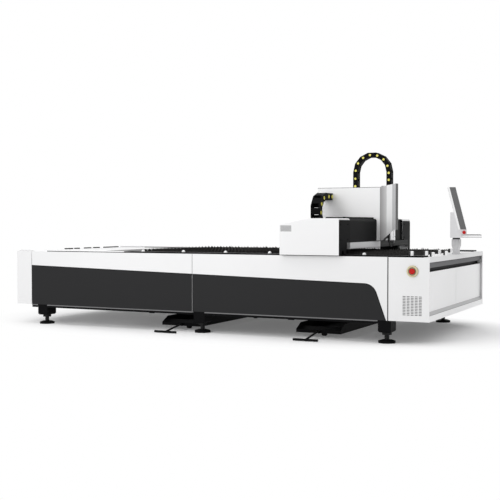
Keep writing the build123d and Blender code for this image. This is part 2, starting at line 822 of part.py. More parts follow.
with BuildPart() as right_end_top_beam:
    with BuildSketch(Plane.XZ.offset(-END_START)):
        with Locations((X_RIGHT - RIGHT_INSET / 2, (CHANNEL_TOP + TOP_BEAM_TOP) / 2)):
            rounded_tube(RIGHT_INSET, TOP_BEAM_TOP - CHANNEL_TOP, SHEET, TOP_BEAM_ROUND)
    extrude(amount=-(END_STOP - END_START))
right_end_top_beam.part.label = "right_end_top_beam"

# Decks at both ends of the table
with BuildPart() as end_decks:
    deck_front = from_front(DECK_INSET)
    deck_rear = Y_REAR - DECK_INSET
    for left, right in (
        (X_LEFT + BEAM_INSET, from_right(TABLE_LEFT)),
        (from_right(TABLE_RIGHT), from_right(RIGHT_INSET)),
    ):
        box_between((left, right), (deck_front, deck_rear), (BEAM_TOP, DECK_TOP))
        box_between(
            (left + SHEET, right - SHEET),
            (deck_front - OVERRUN, deck_rear + OVERRUN),
            (BEAM_TOP - OVERRUN, DECK_TOP - SHEET),
            mode=Mode.SUBTRACT,
        )
end_decks.part.label = "end_decks"

# Covers over the X rails, dark along the table and white to the left of it
with BuildPart() as rail_covers:
    for left, right in (
        (X_LEFT + SHEET, from_right(TABLE_LEFT) - HALF_GAP),
        (from_right(TABLE_LEFT) + HALF_GAP, from_right(RIGHT_INSET)),
    ):
        with BuildSketch(Plane.YZ.offset(left)):
            outline(
                (from_front(BEAM_INSET), BEAM_TOP),
                (from_front(BEAM_INSET), COVER_TOP),
                (from_front(BEAM_INSET + COVER_WIDTH), COVER_TOP),
                (from_front(BEAM_INSET + COVER_WIDTH), COVER_TOP - COVER_LIP),
                (from_front(BEAM_INSET + COVER_WIDTH - SHEET), COVER_TOP - COVER_LIP),
                (from_front(BEAM_INSET + COVER_WIDTH - SHEET), COVER_TOP - SHEET),
                (from_front(BEAM_INSET + SHEET), COVER_TOP - SHEET),
                (from_front(BEAM_INSET + SHEET), BEAM_TOP),
            )
        extrude(amount=right - left)
    mirror(about=CENTRE_PLANE)
rail_covers.part.label = "rail_covers"

CAP_POINTS = [(from_right(CAP_FIRST + i * CAP_PITCH), from_front(CAP_INSET)) for i in range(CAP_COUNT)]
with BuildPart() as cover_caps:
    for x, y in CAP_POINTS:
        with BuildSketch(Plane.XZ.offset(-y)):
            with BuildLine():
                Line((x, COVER_TOP), (x + CAP_DIAMETER / 2, COVER_TOP))
                Line((x + CAP_DIAMETER / 2, COVER_TOP), (x + CAP_DIAMETER / 2, COVER_TOP + CAP_BASE))
                CenterArc((x, COVER_TOP + CAP_BASE), CAP_DIAMETER / 2, 0, 90)
                Line((x, COVER_TOP + CAP_BASE + CAP_DIAMETER / 2), (x, COVER_TOP))
            make_face()
        revolve(axis=Axis((x, y, 0), (0, 0, 1)))
    mirror(about=CENTRE_PLANE)
cover_caps.part.label = "cover_caps"

# Sheet stops in two rows, spaced as the caps, the first of the far row on the front rail cover
with BuildPart() as end_fingers:
    for row, base, first, count in (
        (FINGER_NEAR_ROW, TOP_BEAM_TOP, FINGER_NEAR_FIRST, FINGER_NEAR_COUNT),
        (FINGER_FAR_ROW, COVER_TOP, FINGER_FAR_FIRST, 1),
        (FINGER_FAR_ROW, DECK_TOP, FINGER_FAR_FIRST + CAP_PITCH, FINGER_FAR_COUNT),
    ):
        with BuildSketch(Plane.YZ.offset(from_right(row) - FINGER_THICK / 2)):
            for i in range(count):
                with Locations((from_front(first + i * CAP_PITCH), base + FINGER_HEIGHT / 2)):
                    Rectangle(FINGER_WIDTH, FINGER_HEIGHT)
            fillet(vertices().group_by(Axis.Y)[-1], FINGER_ROUND)
        extrude(amount=FINGER_THICK)
end_fingers.part.label = "end_fingers"

# X guide rails and racks on the side beams
with BuildPart() as x_guides:
    for inset, width, height in (
        (RAIL_INSET, RAIL_WIDTH, RAIL_HEIGHT),
        (RACK_INSET, RACK_WIDTH, RACK_HEIGHT),
    ):
        box_between(
            (X_LEFT + BEAM_INSET, from_right(RIGHT_INSET)),
            (from_front(inset) - width / 2, from_front(inset) + width / 2),
            (BEAM_TOP, BEAM_TOP + height),
        )
    mirror(about=CENTRE_PLANE)
x_guides.part.label = "x_guides"

# Round emergency stop on the front
STOP_PLANE = Plane(
    origin=(from_right(STOP_PLACE), Y_FRONT, STOP_HEIGHT), x_dir=(1, 0, 0), z_dir=(0, -1, 0)
)
with BuildPart() as estop_collar:
    with BuildSketch(STOP_PLANE):
        Circle(COLLAR_DIAMETER / 2)
        Circle(STOP_STEM / 2 + CLEARANCE, mode=Mode.SUBTRACT)
    extrude(amount=COLLAR_DEPTH)
    with BuildSketch(STOP_PLANE.offset(STOP_FLOOR)):
        Circle(STOP_HEAD / 2 + COLLAR_RING)
    extrude(amount=COLLAR_DEPTH, mode=Mode.SUBTRACT)
    rim = edges().filter_by(GeomType.CIRCLE).group_by(SortBy.RADIUS)[-1].sort_by(Axis.Y)[0]
    chamfer(rim, COLLAR_BEVEL)
estop_collar.part.label = "estop_collar"

with BuildPart() as front_estop_button:
    head_back = STOP_FLOOR + STOP_TRAVEL + CLEARANCE
    with BuildSketch(STOP_PLANE.offset(head_back)):
        Circle(STOP_HEAD / 2)
    extrude(amount=STOP_HEAD_DEPTH)
    fillet(edges().filter_by(GeomType.CIRCLE).sort_by(Axis.Y)[0], STOP_CROWN)
    with BuildSketch(STOP_PLANE.offset(head_back)):
        Circle(STOP_STEM / 2)
    extrude(amount=-STOP_STEM_LENGTH)
front_estop_button.part.label = "front_estop_button"


# Gantry
HOUSING_FRONT = from_front(-HOUSING_OVERHANG)
HOUSING_INNER = HOUSING_FRONT + HOUSING_DEPTH


def draw_housing():
    corner = (from_right(HOUSING_RIGHT), HOUSING_TOP)
    outline(
        (from_right(HOUSING_LEFT), HOUSING_BOTTOM),
        (from_right(HOUSING_RIGHT), HOUSING_BOTTOM),
        corner,
        (from_right(HOUSING_FLAT), HOUSING_TOP),
        (from_right(HOUSING_LEFT), HOUSING_SHOULDER),
    )
    fillet(vertices().sort_by_distance(corner)[0], HOUSING_CORNER)


with BuildPart() as front_end_housing:
    with BuildSketch(Plane.XZ.offset(-HOUSING_FRONT)):
        draw_housing()
    extrude(amount=-HOUSING_DEPTH)
    with BuildSketch(Plane.XZ.offset(-(HOUSING_FRONT + SHEET))):
        draw_housing()
        offset(amount=-SHEET, kind=Kind.INTERSECTION)
        with Locations((from_right((HOUSING_LEFT + HOUSING_RIGHT) / 2), HOUSING_BOTTOM)):
            Rectangle(HOUSING_LEFT - HOUSING_RIGHT - 2 * SHEET, 2 * OVERRUN)
    extrude(amount=-HOUSING_DEPTH, mode=Mode.SUBTRACT)
    box_between(
        (from_right(HOUSING_LEFT + OVERRUN), from_right(HOUSING_RIGHT - OVERRUN)),
        (HOUSING_FRONT + HOUSING_SKIRT, HOUSING_INNER + OVERRUN),
        (HOUSING_BOTTOM - OVERRUN, HOUSING_PASS),
        mode=Mode.SUBTRACT,
    )
    box_between(
        (from_right(HOUSING_RIGHT + OVERRUN), from_right(HOUSING_RIGHT - OVERRUN)),
        (HOUSING_FRONT + HOUSING_LEG, HOUSING_INNER + OVERRUN),
        (HOUSING_BOTTOM - OVERRUN, HOUSING_OPEN),
        mode=Mode.SUBTRACT,
    )
    vent_pitch = (VENT_TOP - VENT_BOTTOM) / VENT_SLOTS
    with BuildSketch(Plane.XZ.offset(-HOUSING_FRONT)):
        with Locations((from_right((VENT_LEFT + VENT_RIGHT) / 2), (VENT_TOP + VENT_BOTTOM) / 2)):
            with GridLocations(VENT_LEFT, vent_pitch, 1, VENT_SLOTS):
                Rectangle(VENT_LEFT - VENT_RIGHT, VENT_SLOT_HEIGHT)
    extrude(amount=-SHEET, mode=Mode.SUBTRACT)
front_end_housing.part.label = "front_end_housing"

with BuildPart() as rear_end_housing:
    mirror(front_end_housing.part, about=CENTRE_PLANE)
rear_end_housing.part.label = "rear_end_housing"

# Black side panels of the end housings, cut away over the rail covers
with BuildPart() as housing_side_panels:
    with BuildSketch(Plane.YZ.offset(from_right(HOUSING_RIGHT))):
        side_start = HOUSING_FRONT + SIDE_RETURN
        side_top = HOUSING_TOP - HOUSING_CORNER
        outline(
            (side_start, HOUSING_BOTTOM),
            (side_start, side_top),
            (HOUSING_INNER, side_top),
            (HOUSING_INNER, HOUSING_OPEN),
            (HOUSING_FRONT + HOUSING_LEG, HOUSING_OPEN),
            (HOUSING_FRONT + HOUSING_LEG, HOUSING_PASS),
            (HOUSING_FRONT + HOUSING_SKIRT, HOUSING_PASS),
            (HOUSING_FRONT + HOUSING_SKIRT, HOUSING_BOTTOM),
        )
        fillet(vertices().sort_by_distance((side_start, side_top))[0], SIDE_ROUND)
    extrude(amount=SIDE_PANEL)
    mirror(about=CENTRE_PLANE)
housing_side_panels.part.label = "housing_side_panels"

with BuildPart() as gantry_beam:
    gantry_width = GANTRY_LEFT - GANTRY_RIGHT
    gantry_height = GANTRY_TOP - GANTRY_BOTTOM
    with BuildSketch(Plane.XZ.offset(-(HOUSING_FRONT + SHEET))):
        with Locations((from_right((GANTRY_LEFT + GANTRY_RIGHT) / 2), (GANTRY_TOP + GANTRY_BOTTOM) / 2)):
            rounded_tube(gantry_width, gantry_height, GANTRY_WALL, GANTRY_CORNER)
    extrude(amount=-(BED_DEPTH + 2 * (HOUSING_OVERHANG - SHEET)))
gantry_beam.part.label = "gantry_beam"

# Saddles that carry the beam on the X rails
GANTRY_X = from_right((GANTRY_LEFT + GANTRY_RIGHT) / 2)
with BuildPart() as x_saddles:
    half = SADDLE_LENGTH / 2
    box_between(
        (GANTRY_X - half, GANTRY_X + half),
        (from_front(SADDLE_OUTER), from_front(RISER_INNER)),
        (SADDLE_BOTTOM, SADDLE_BOTTOM + SADDLE_THICK),
    )
    box_between(
        (from_right(GANTRY_LEFT - GANTRY_CORNER), from_right(GANTRY_RIGHT + GANTRY_CORNER)),
        (from_front(RISER_OUTER), from_front(RISER_INNER)),
        (SADDLE_BOTTOM + SADDLE_THICK, GANTRY_BOTTOM),
    )
    for x in (GANTRY_X - half, GANTRY_X + half - BEARING_LENGTH):
        box_between(
            (x, x + BEARING_LENGTH),
            (from_front(RAIL_INSET) - BEARING_WIDTH / 2, from_front(RAIL_INSET) + BEARING_WIDTH / 2),
            (BEARING_BOTTOM, SADDLE_BOTTOM),
        )
    rail_half = RAIL_WIDTH / 2 + CLEARANCE
    box_between(
        (GANTRY_X - half, GANTRY_X + half),
        (from_front(RAIL_INSET) - rail_half, from_front(RAIL_INSET) + rail_half),
        (BEAM_TOP, BEAM_TOP + RAIL_HEIGHT + CLEARANCE),
        mode=Mode.SUBTRACT,
    )
    mirror(about=CENTRE_PLANE)
x_saddles.part.label = "x_saddles"

# Silver rack bar on the beam's right face and the two Y rails on its top
GUIDE_START = HOUSING_INNER + GUIDE_END_GAP
GUIDE_STOP = Y_REAR + HOUSING_OVERHANG - HOUSING_DEPTH - GUIDE_END_GAP
with BuildPart() as y_guides:
    rack_start = HOUSING_FRONT + HOUSING_LEG + SHEET
    rack_stop = 2 * Y_MID - rack_start
    tooth_start = rack_start + GUIDE_CAP
    tooth_pitch = (rack_stop - GUIDE_CAP - tooth_start) / GUIDE_TEETH
    rack_edge = [(rack_start, GUIDE_TOP), (rack_start, GUIDE_BOTTOM), (tooth_start, GUIDE_BOTTOM)]
    for tooth in range(GUIDE_TEETH):
        valley = tooth_start + (tooth + 0.5) * tooth_pitch
        rack_edge.append((valley, GUIDE_BOTTOM + GUIDE_TOOTH))
        rack_edge.append((tooth_start + (tooth + 1) * tooth_pitch, GUIDE_BOTTOM))
    rack_edge.extend([(rack_stop, GUIDE_BOTTOM), (rack_stop, GUIDE_TOP)])
    with BuildSketch(Plane.YZ.offset(from_right(GANTRY_RIGHT))):
        outline(*rack_edge)
    extrude(amount=GUIDE_DEPTH)
    for x in (from_right(GANTRY_LEFT - Y_RAIL_INSET), from_right(GANTRY_RIGHT + Y_RAIL_INSET)):
        box_between(
            (x - Y_RAIL_WIDTH / 2, x + Y_RAIL_WIDTH / 2),
            (GUIDE_START, GUIDE_STOP),
            (GANTRY_TOP, GANTRY_TOP + Y_RAIL_HEIGHT),
        )
y_guides.part.label = "y_guides"

LOOP_REACH = LOOP_RADIUS + LOOP_THICK / 2 / cos(pi / LOOP_LINKS / 2)
TROUGH_FLOOR = LOOP_CENTRE_HEIGHT - LOOP_REACH - CLEARANCE
with BuildPart() as y_chain_trough:
    with BuildSketch(Plane.XZ.offset(-GUIDE_START)):
        outline(
            (from_right(TROUGH_LEFT), TROUGH_FLOOR - SHEET),
            (from_right(GANTRY_LEFT), TROUGH_FLOOR - SHEET),
            (from_right(GANTRY_LEFT), TROUGH_FLOOR),
            (from_right(TROUGH_RIGHT), TROUGH_FLOOR),
            (from_right(TROUGH_RIGHT), TROUGH_FLOOR + TROUGH_WALL),
            (from_right(TROUGH_RIGHT + SHEET), TROUGH_FLOOR + TROUGH_WALL),
            (from_right(TROUGH_RIGHT + SHEET), TROUGH_FLOOR),
            (from_right(TROUGH_LEFT - SHEET), TROUGH_FLOOR),
            (from_right(TROUGH_LEFT - SHEET), TROUGH_FLOOR + TROUGH_WALL),
            (from_right(TROUGH_LEFT), TROUGH_FLOOR + TROUGH_WALL),
        )
    extrude(amount=-(GUIDE_STOP - GUIDE_START))
y_chain_trough.part.label = "y_chain_trough"

# Carriage
COVER_FRONT = from_front(CARRIAGE_FRONT)
COVER_BACK = COVER_FRONT + CARRIAGE_DEPTH
RAIL_XS = (from_right(GANTRY_LEFT - Y_RAIL_INSET), from_right(GANTRY_RIGHT + Y_RAIL_INSET))


def draw_carriage(inset):
    """Front outline of the carriage cover: a box over the beam with one leg down its right side."""
    outline(
        (from_right(CARRIAGE_LEFT - inset), CARRIAGE_BOTTOM - inset),
        (from_right(CARRIAGE_LEFT - inset), CARRIAGE_TOP - inset),
        (from_right(CARRIAGE_RIGHT + inset), CARRIAGE_TOP - inset),
        (from_right(CARRIAGE_RIGHT + inset), LEG_FOOT - inset),
        (from_right(LEG_INNER), LEG_FOOT - inset),
        (from_right(LEG_INNER), CARRIAGE_BOTTOM - inset),
    )


with BuildPart() as carriage_cover:
    with BuildSketch(Plane.XZ.offset(-COVER_FRONT)):
        draw_carriage(0)
        inner_corner = (from_right(LEG_INNER), CARRIAGE_BOTTOM)
        fillet(vertices().sort_by_distance(inner_corner)[0], LEG_ROUND)
    extrude(amount=-CARRIAGE_DEPTH)
    top_edges = edges().filter_by(Axis.Y).group_by(Axis.Z)[-1]
    fillet(top_edges, COVER_ROUND)
    with BuildSketch(Plane.XZ.offset(-(COVER_FRONT + SHEET))):
        draw_carriage(SHEET)
    extrude(amount=-(CARRIAGE_DEPTH - 2 * SHEET), mode=Mode.SUBTRACT)
    rail_band = Y_RAIL_HEIGHT + GANTRY_TOP + CLEARANCE
    for x in RAIL_XS:
        box_between(
            (x - Y_RAIL_WIDTH / 2 - SHEET, x + Y_RAIL_WIDTH / 2 + SHEET),
            (COVER_FRONT - OVERRUN, COVER_BACK + OVERRUN),
            (CARRIAGE_BOTTOM - OVERRUN, rail_band),
            mode=Mode.SUBTRACT,
        )
carriage_cover.part.label = "carriage_cover"

# Saddle on the Y rails, with the hanger plate that carries the Z axis
HANGER_RIGHT = from_right(CARRIAGE_RIGHT + SHEET)
with BuildPart() as carriage_saddle:
    box_between(
        (from_right(GANTRY_LEFT), HANGER_RIGHT),
        (COVER_FRONT + SHEET, COVER_BACK - SHEET),
        (SLIDE_PLATE_BOTTOM, SLIDE_PLATE_BOTTOM + SLIDE_PLATE),
    )
    box_between(
        (from_right(LEG_INNER), HANGER_RIGHT),
        (COVER_FRONT + SHEET, COVER_BACK - SHEET),
        (HANGER_FOOT, SLIDE_PLATE_BOTTOM),
    )
    for x in RAIL_XS:
        for y in (COVER_FRONT + SHEET, COVER_BACK - SHEET - SLIDE_BLOCK_LENGTH):
            box_between(
                (x - SLIDE_BLOCK / 2, x + SLIDE_BLOCK / 2),
                (y, y + SLIDE_BLOCK_LENGTH),
                (SLIDE_BLOCK_BOTTOM, SLIDE_PLATE_BOTTOM),
            )
        box_between(
            (x - Y_RAIL_WIDTH / 2 - CLEARANCE, x + Y_RAIL_WIDTH / 2 + CLEARANCE),
            (COVER_FRONT, COVER_BACK),
            (GANTRY_TOP, GANTRY_TOP + Y_RAIL_HEIGHT + CLEARANCE),
            mode=Mode.SUBTRACT,
        )
carriage_saddle.part.label = "carriage_saddle"

# Faceted cover of the Z column on the carriage's right side
COLUMN_LEFT_X = from_right(CARRIAGE_RIGHT)
COLUMN_RIGHT_X = COLUMN_LEFT_X + COLUMN_PROJECTION
COLUMN_BACK_Y = COVER_FRONT + COLUMN_DEPTH


def draw_column():
    channel_left = COLUMN_LEFT_X + COLUMN_SLANT
    channel_right = channel_left + COLUMN_CHANNEL
    outline(
        (COLUMN_LEFT_X, COVER_FRONT + SHEET),
        (channel_left, COVER_FRONT + COLUMN_SET_BACK),
        (channel_right, COVER_FRONT + COLUMN_SET_BACK),
        (channel_right + COLUMN_EDGE, COVER_FRONT + COLUMN_SET_BACK + COLUMN_EDGE_BACK),
        (COLUMN_RIGHT_X, COLUMN_BACK_Y),
        (COLUMN_LEFT_X, COLUMN_BACK_Y),
    )


with BuildPart() as z_column_cover:
    with BuildSketch(Plane.XY.offset(COLUMN_FOOT)):
        draw_column()
        offset(amount=-SHEET, kind=Kind.INTERSECTION, mode=Mode.SUBTRACT)
    extrude(amount=COLUMN_TOP_RIGHT - COLUMN_FOOT)
    with BuildSketch(Plane.XZ.offset(-(COVER_FRONT - OVERRUN))):
        outline(
            (COLUMN_LEFT_X, COLUMN_TOP_LEFT),
            (COLUMN_RIGHT_X, COLUMN_TOP_RIGHT),
            (COLUMN_RIGHT_X, COLUMN_TOP_RIGHT + OVERRUN),
            (COLUMN_LEFT_X, COLUMN_TOP_RIGHT + OVERRUN),
        )
        outline(
            (COLUMN_LEFT_X + COLUMN_FOOT_WIDTH, COLUMN_FOOT - OVERRUN),
            (COLUMN_LEFT_X + COLUMN_FOOT_WIDTH, COLUMN_FOOT),
            (COLUMN_LEFT_X + COLUMN_FOOT_WIDTH + COLUMN_DIAGONAL, COLUMN_SHOULDER),
            (COLUMN_RIGHT_X + OVERRUN, COLUMN_SHOULDER),
            (COLUMN_RIGHT_X + OVERRUN, COLUMN_FOOT - OVERRUN),
        )
    extrude(amount=-(COLUMN_DEPTH + 2 * OVERRUN), mode=Mode.SUBTRACT)
z_column_cover.part.label = "z_column_cover"

# Cutting head on its slide
HEAD_X = from_right(HEAD_PLACE)
HEAD_Y = COVER_FRONT + HEAD_SETBACK
HEAD_AXIS = Axis((HEAD_X, HEAD_Y, 0), (0, 0, 1))
NOZZLE_TOP = NOZZLE_TIP + NOZZLE_HEIGHT
CONE_TOP = NOZZLE_TOP + HEAD_CONE_HEIGHT
GROOVE_BOTTOM = CONE_TOP + HEAD_NECK

with BuildPart() as nozzle:
    with BuildSketch(Plane.XZ.offset(-HEAD_Y)):
        outline(
            (HEAD_X, NOZZLE_TIP),
            (HEAD_X + NOZZLE_TIP_RADIUS, NOZZLE_TIP),
            (HEAD_X + NOZZLE_RADIUS, NOZZLE_TOP),
            (HEAD_X, NOZZLE_TOP),
        )
    revolve(axis=HEAD_AXIS)
nozzle.part.label = "nozzle"

with BuildPart() as cutting_head:
    with BuildSketch(Plane.XZ.offset(-HEAD_Y)):
        outline(
            (HEAD_X, NOZZLE_TOP),
            (HEAD_X + NOZZLE_RADIUS + SHEET, NOZZLE_TOP),
            (HEAD_X + HEAD_CONE_RADIUS, CONE_TOP),
            (HEAD_X + HEAD_RADIUS, CONE_TOP),
            (HEAD_X + HEAD_RADIUS, GROOVE_BOTTOM),
            (HEAD_X + HEAD_RADIUS - HEAD_GROOVE, GROOVE_BOTTOM),
            (HEAD_X + HEAD_RADIUS - HEAD_GROOVE, GROOVE_BOTTOM + HEAD_GROOVE_HEIGHT),
            (HEAD_X + HEAD_RADIUS, GROOVE_BOTTOM + HEAD_GROOVE_HEIGHT),
            (HEAD_X + HEAD_RADIUS, HEAD_TOP),
            (HEAD_X, HEAD_TOP),
        )
    revolve(axis=HEAD_AXIS)
cutting_head.part.label = "cutting_head"

PLATE_LEFT = COLUMN_LEFT_X + SHEET + Z_PLATE_GAP
with BuildPart() as z_slide:
    box_between(
        (PLATE_LEFT, PLATE_LEFT + Z_PLATE_THICK),
        (HEAD_Y - Z_PLATE_WIDTH / 2, HEAD_Y + Z_PLATE_WIDTH / 2),
        (HEAD_TOP, Z_PLATE_TOP),
    )
    box_between(
        (PLATE_LEFT, HEAD_X + HEAD_RADIUS),
        (HEAD_Y - Z_PLATE_WIDTH / 2, HEAD_Y + Z_PLATE_WIDTH / 2),
        (HEAD_TOP, HEAD_TOP + Z_SHELF),
    )
    box_between(
        (PLATE_LEFT + Z_PLATE_THICK, from_right(ARCH_RIGHT) + ARCH_THICK / 2),
        (HEAD_Y - Z_PLATE_WIDTH / 2, HEAD_Y + Z_PLATE_WIDTH / 2),
        (Z_PLATE_TOP - Z_SHELF, Z_PLATE_TOP),
    )
z_slide.part.label = "z_slide"


# Cable chains
def chain_link(plane, half_length, flare, thick, width, pin):
    """One open link: two side plates, two cross bars and the round boss of its pin on each side.

    The plane's x runs along the chain, its y out of the bend, and its z along the pins.
    The flare is how much longer than its middle each half of a plate is at the outside of the bend.
    """
    low = width / 2 - CHAIN_PLATE
    for side in (-1, 1):
        with BuildSketch(plane.offset(side * low)) as face:
            outline(
                (-half_length - flare, thick / 2),
                (half_length + flare, thick / 2),
                (half_length - flare, -thick / 2),
                (-half_length + flare, -thick / 2),
            )
        extrude(face.sketch, amount=side * CHAIN_PLATE)
        with BuildSketch(plane.offset(side * width / 2)) as face:
            with Locations((half_length - pin - flare, 0)):
                RegularPolygon(pin, PIN_SIDES)
        extrude(face.sketch, amount=side * PIN_PROUD)
        with BuildSketch(plane.offset(-low)) as face:
            with Locations((0, side * (thick - CHAIN_BAR) / 2)):
                Rectangle(2 * half_length * CHAIN_BAR_SHARE, CHAIN_BAR)
        extrude(face.sketch, amount=2 * low)


def straight_links(start, end, count, pin_direction, thick, width, pin):
    """A straight run of links between two points."""
    step = (end - start) / count
    for i in range(count):
        plane = Plane(origin=start + step * (i + 0.5), x_dir=step, z_dir=pin_direction)
        chain_link(plane, step.length / 2 - LINK_GAP, 0, thick, width, pin)


def bent_links(centre, radius, first_angle, turn, count, across, up, thick, width, pin):
    """A bend of links about a centre, from one angle through a turn, in radians."""
    step = turn / count
    reach = radius * cos(step / 2)
    half_length = radius * sin(step / 2) - LINK_GAP
    flare = tan(step / 2) * thick / 2
    for i in range(count):
        angle = first_angle + step * (i + 0.5)
        place = centre + across * (reach * cos(angle)) + up * (reach * sin(angle))
        along = up * cos(angle) - across * sin(angle)
        plane = Plane(origin=place, x_dir=along, z_dir=up.cross(across))
        chain_link(plane, half_length, flare, thick, width, pin)


ARCH_Y = COVER_FRONT + ARCH_SETBACK + ARCH_WIDTH / 2
ARCH_RADIUS = (ARCH_LEFT - ARCH_RIGHT) / 2
ARCH_X = from_right((ARCH_LEFT + ARCH_RIGHT) / 2)
with BuildPart() as z_chain:
    pins = Vector(0, 1, 0)
    bent_links(
        Vector(ARCH_X, ARCH_Y, ARCH_CENTRE), ARCH_RADIUS, 0, pi, ARCH_LINKS,
        Vector(1, 0, 0), Vector(0, 0, 1), ARCH_THICK, ARCH_WIDTH, ARCH_PIN,
    )
    for x, start, end in (
        (from_right(ARCH_LEFT), ARCH_CENTRE, CARRIAGE_TOP),
        (from_right(ARCH_RIGHT), Z_PLATE_TOP, ARCH_CENTRE),
    ):
        straight_links(
            Vector(x, ARCH_Y, start), Vector(x, ARCH_Y, end),
            ARCH_LEG_LINKS, pins, ARCH_THICK, ARCH_WIDTH, ARCH_PIN,
        )
z_chain.part.label = "z_chain"

LOOP_X = from_right((LOOP_LEFT + LOOP_RIGHT) / 2)
LOOP_WIDTH = LOOP_LEFT - LOOP_RIGHT
LOOP_Y = from_front(LOOP_CENTRE)
with BuildPart() as y_chain:
    pins = Vector(1, 0, 0)
    loop_top = LOOP_CENTRE_HEIGHT + LOOP_RADIUS
    loop_bottom = LOOP_CENTRE_HEIGHT - LOOP_RADIUS
    bent_links(
        Vector(LOOP_X, LOOP_Y, LOOP_CENTRE_HEIGHT), LOOP_RADIUS, pi / 2, pi, LOOP_LINKS,
        Vector(0, 1, 0), Vector(0, 0, 1), LOOP_THICK, LOOP_WIDTH, LOOP_PIN,
    )
    straight_links(
        Vector(LOOP_X, LOOP_Y, loop_top), Vector(LOOP_X, COVER_FRONT, loop_top),
        LOOP_UPPER_LINKS, pins, LOOP_THICK, LOOP_WIDTH, LOOP_PIN,
    )
    straight_links(
        Vector(LOOP_X, LOOP_Y, loop_bottom), Vector(LOOP_X, LOOP_Y + LOOP_LOWER_LENGTH, loop_bottom),
        LOOP_LOWER_LINKS, pins, LOOP_THICK, LOOP_WIDTH, LOOP_PIN,
    )
y_chain.part.label = "y_chain"

# Console
PIVOT_X = from_right(CONSOLE_PIVOT)
with BuildPart() as console_post:
    with BuildSketch(Plane.XZ.offset(-(Y_MID - POST_DEPTH / 2))):
        outline(
            (PIVOT_X - POST_NECK_WIDTH / 2, TOP_BEAM_TOP),
            (PIVOT_X + POST_NECK_WIDTH / 2, TOP_BEAM_TOP),
            (PIVOT_X + POST_NECK_WIDTH / 2, POST_NECK),
            (PIVOT_X + POST_TOP_WIDTH / 2, POST_SHOULDER),
            (PIVOT_X + POST_TOP_WIDTH / 2, POST_TOP),
            (PIVOT_X - POST_TOP_WIDTH / 2, POST_TOP),
            (PIVOT_X - POST_TOP_WIDTH / 2, POST_SHOULDER),
            (PIVOT_X - POST_NECK_WIDTH / 2, POST_NECK),
        )
    extrude(amount=-POST_DEPTH)
    box_between(
        (from_right(RIGHT_INSET), X_RIGHT),
        (Y_MID - POST_FLANGE_DEPTH / 2, Y_MID + POST_FLANGE_DEPTH / 2),
        (TOP_BEAM_TOP, TOP_BEAM_TOP + POST_FLANGE),
    )
    with BuildSketch(Plane.XY.offset(POST_TOP)):
        with Locations((PIVOT_X, Y_MID)):
            Circle(PIVOT_DIAMETER / 2 + CLEARANCE)
    extrude(amount=-(PIVOT_LENGTH + CLEARANCE), mode=Mode.SUBTRACT)
console_post.part.label = "console_post"

MONITOR_TOP_X = MONITOR_BOTTOM_X - MONITOR_LEAN
MONITOR_RISE = MONITOR_TOP_Z - MONITOR_BOTTOM_Z
CONSOLE_BOTTOM = POST_TOP + CLEARANCE
CONSOLE_PLANE = Plane(
    origin=(PIVOT_X, Y_MID, 0),
    x_dir=(TURN_COS, TURN_SIN, 0),
    z_dir=(TURN_SIN, -TURN_COS, 0),
)
CONSOLE_SIDE = CONSOLE_PLANE.offset(CONSOLE_WIDTH / 2)


def leaning_x(height):
    """Place of the monitor's back face at a height."""
    share = (height - MONITOR_BOTTOM_Z) / MONITOR_RISE
    return MONITOR_BOTTOM_X - share * MONITOR_LEAN


def console_point(x, height):
    """A point of the console's side outline, measured as if it stood square to the bed's end."""
    return (x + CONSOLE_PIVOT, height)


def console_block(x_range, half_width, z_range, mode=Mode.ADD):
    """A block across the turned console, in the block that is open."""
    with BuildSketch(CONSOLE_PLANE.offset(half_width)) as face:
        outline(
            console_point(x_range[0], z_range[0]),
            console_point(x_range[1], z_range[0]),
            console_point(x_range[1], z_range[1]),
            console_point(x_range[0], z_range[1]),
        )
    extrude(face.sketch, amount=-2 * half_width, mode=mode)


with BuildPart() as console_housing:
    with BuildSketch(CONSOLE_SIDE):
        outline(
            console_point(HOUSING_BACK_X, CONSOLE_BOTTOM + SWIVEL_PLATE),
            console_point(HOUSING_FRONT_X, CONSOLE_BOTTOM + SWIVEL_PLATE),
            console_point(HOUSING_FRONT_X, TRAY_TOP),
            console_point(BROW_FRONT_X, TRAY_TOP),
            console_point(BROW_FRONT_X, MONITOR_BOTTOM_Z),
            console_point(leaning_x(MONITOR_BOTTOM_Z) - MONITOR_BACK, MONITOR_BOTTOM_Z),
            console_point(leaning_x(HOUSING_TOP_Z) - MONITOR_BACK, HOUSING_TOP_Z),
            console_point(HOUSING_BACK_X, HOUSING_TOP_Z),
        )
    extrude(amount=-CONSOLE_WIDTH)
    with BuildSketch(CONSOLE_SIDE):
        with Locations(console_point(SMALL_STOP_X, SMALL_STOP_HEIGHT)):
            Circle(SMALL_STEM / 2 + CLEARANCE)
    extrude(amount=-(SMALL_STEM_LENGTH + SMALL_TRAVEL), mode=Mode.SUBTRACT)
    console_block(
        (-CONSOLE_PIVOT - POST_TOP_WIDTH / 2, -CONSOLE_PIVOT + POST_TOP_WIDTH / 2),
        POST_DEPTH / 2,
        (CONSOLE_BOTTOM, CONSOLE_BOTTOM + SWIVEL_PLATE),
    )
    with BuildSketch(Plane.XY.offset(CONSOLE_BOTTOM)):
        with Locations((PIVOT_X, Y_MID)):
            Circle(PIVOT_DIAMETER / 2)
    extrude(amount=-PIVOT_LENGTH)
console_housing.part.label = "console_housing"

with BuildPart() as monitor_back:
    with BuildSketch(CONSOLE_SIDE):
        outline(
            console_point(MONITOR_BOTTOM_X - MONITOR_BACK, MONITOR_BOTTOM_Z),
            console_point(MONITOR_BOTTOM_X, MONITOR_BOTTOM_Z),
            console_point(MONITOR_TOP_X, MONITOR_TOP_Z),
            console_point(MONITOR_TOP_X - MONITOR_BACK, MONITOR_TOP_Z),
        )
    extrude(amount=-CONSOLE_WIDTH)
monitor_back.part.label = "monitor_back"

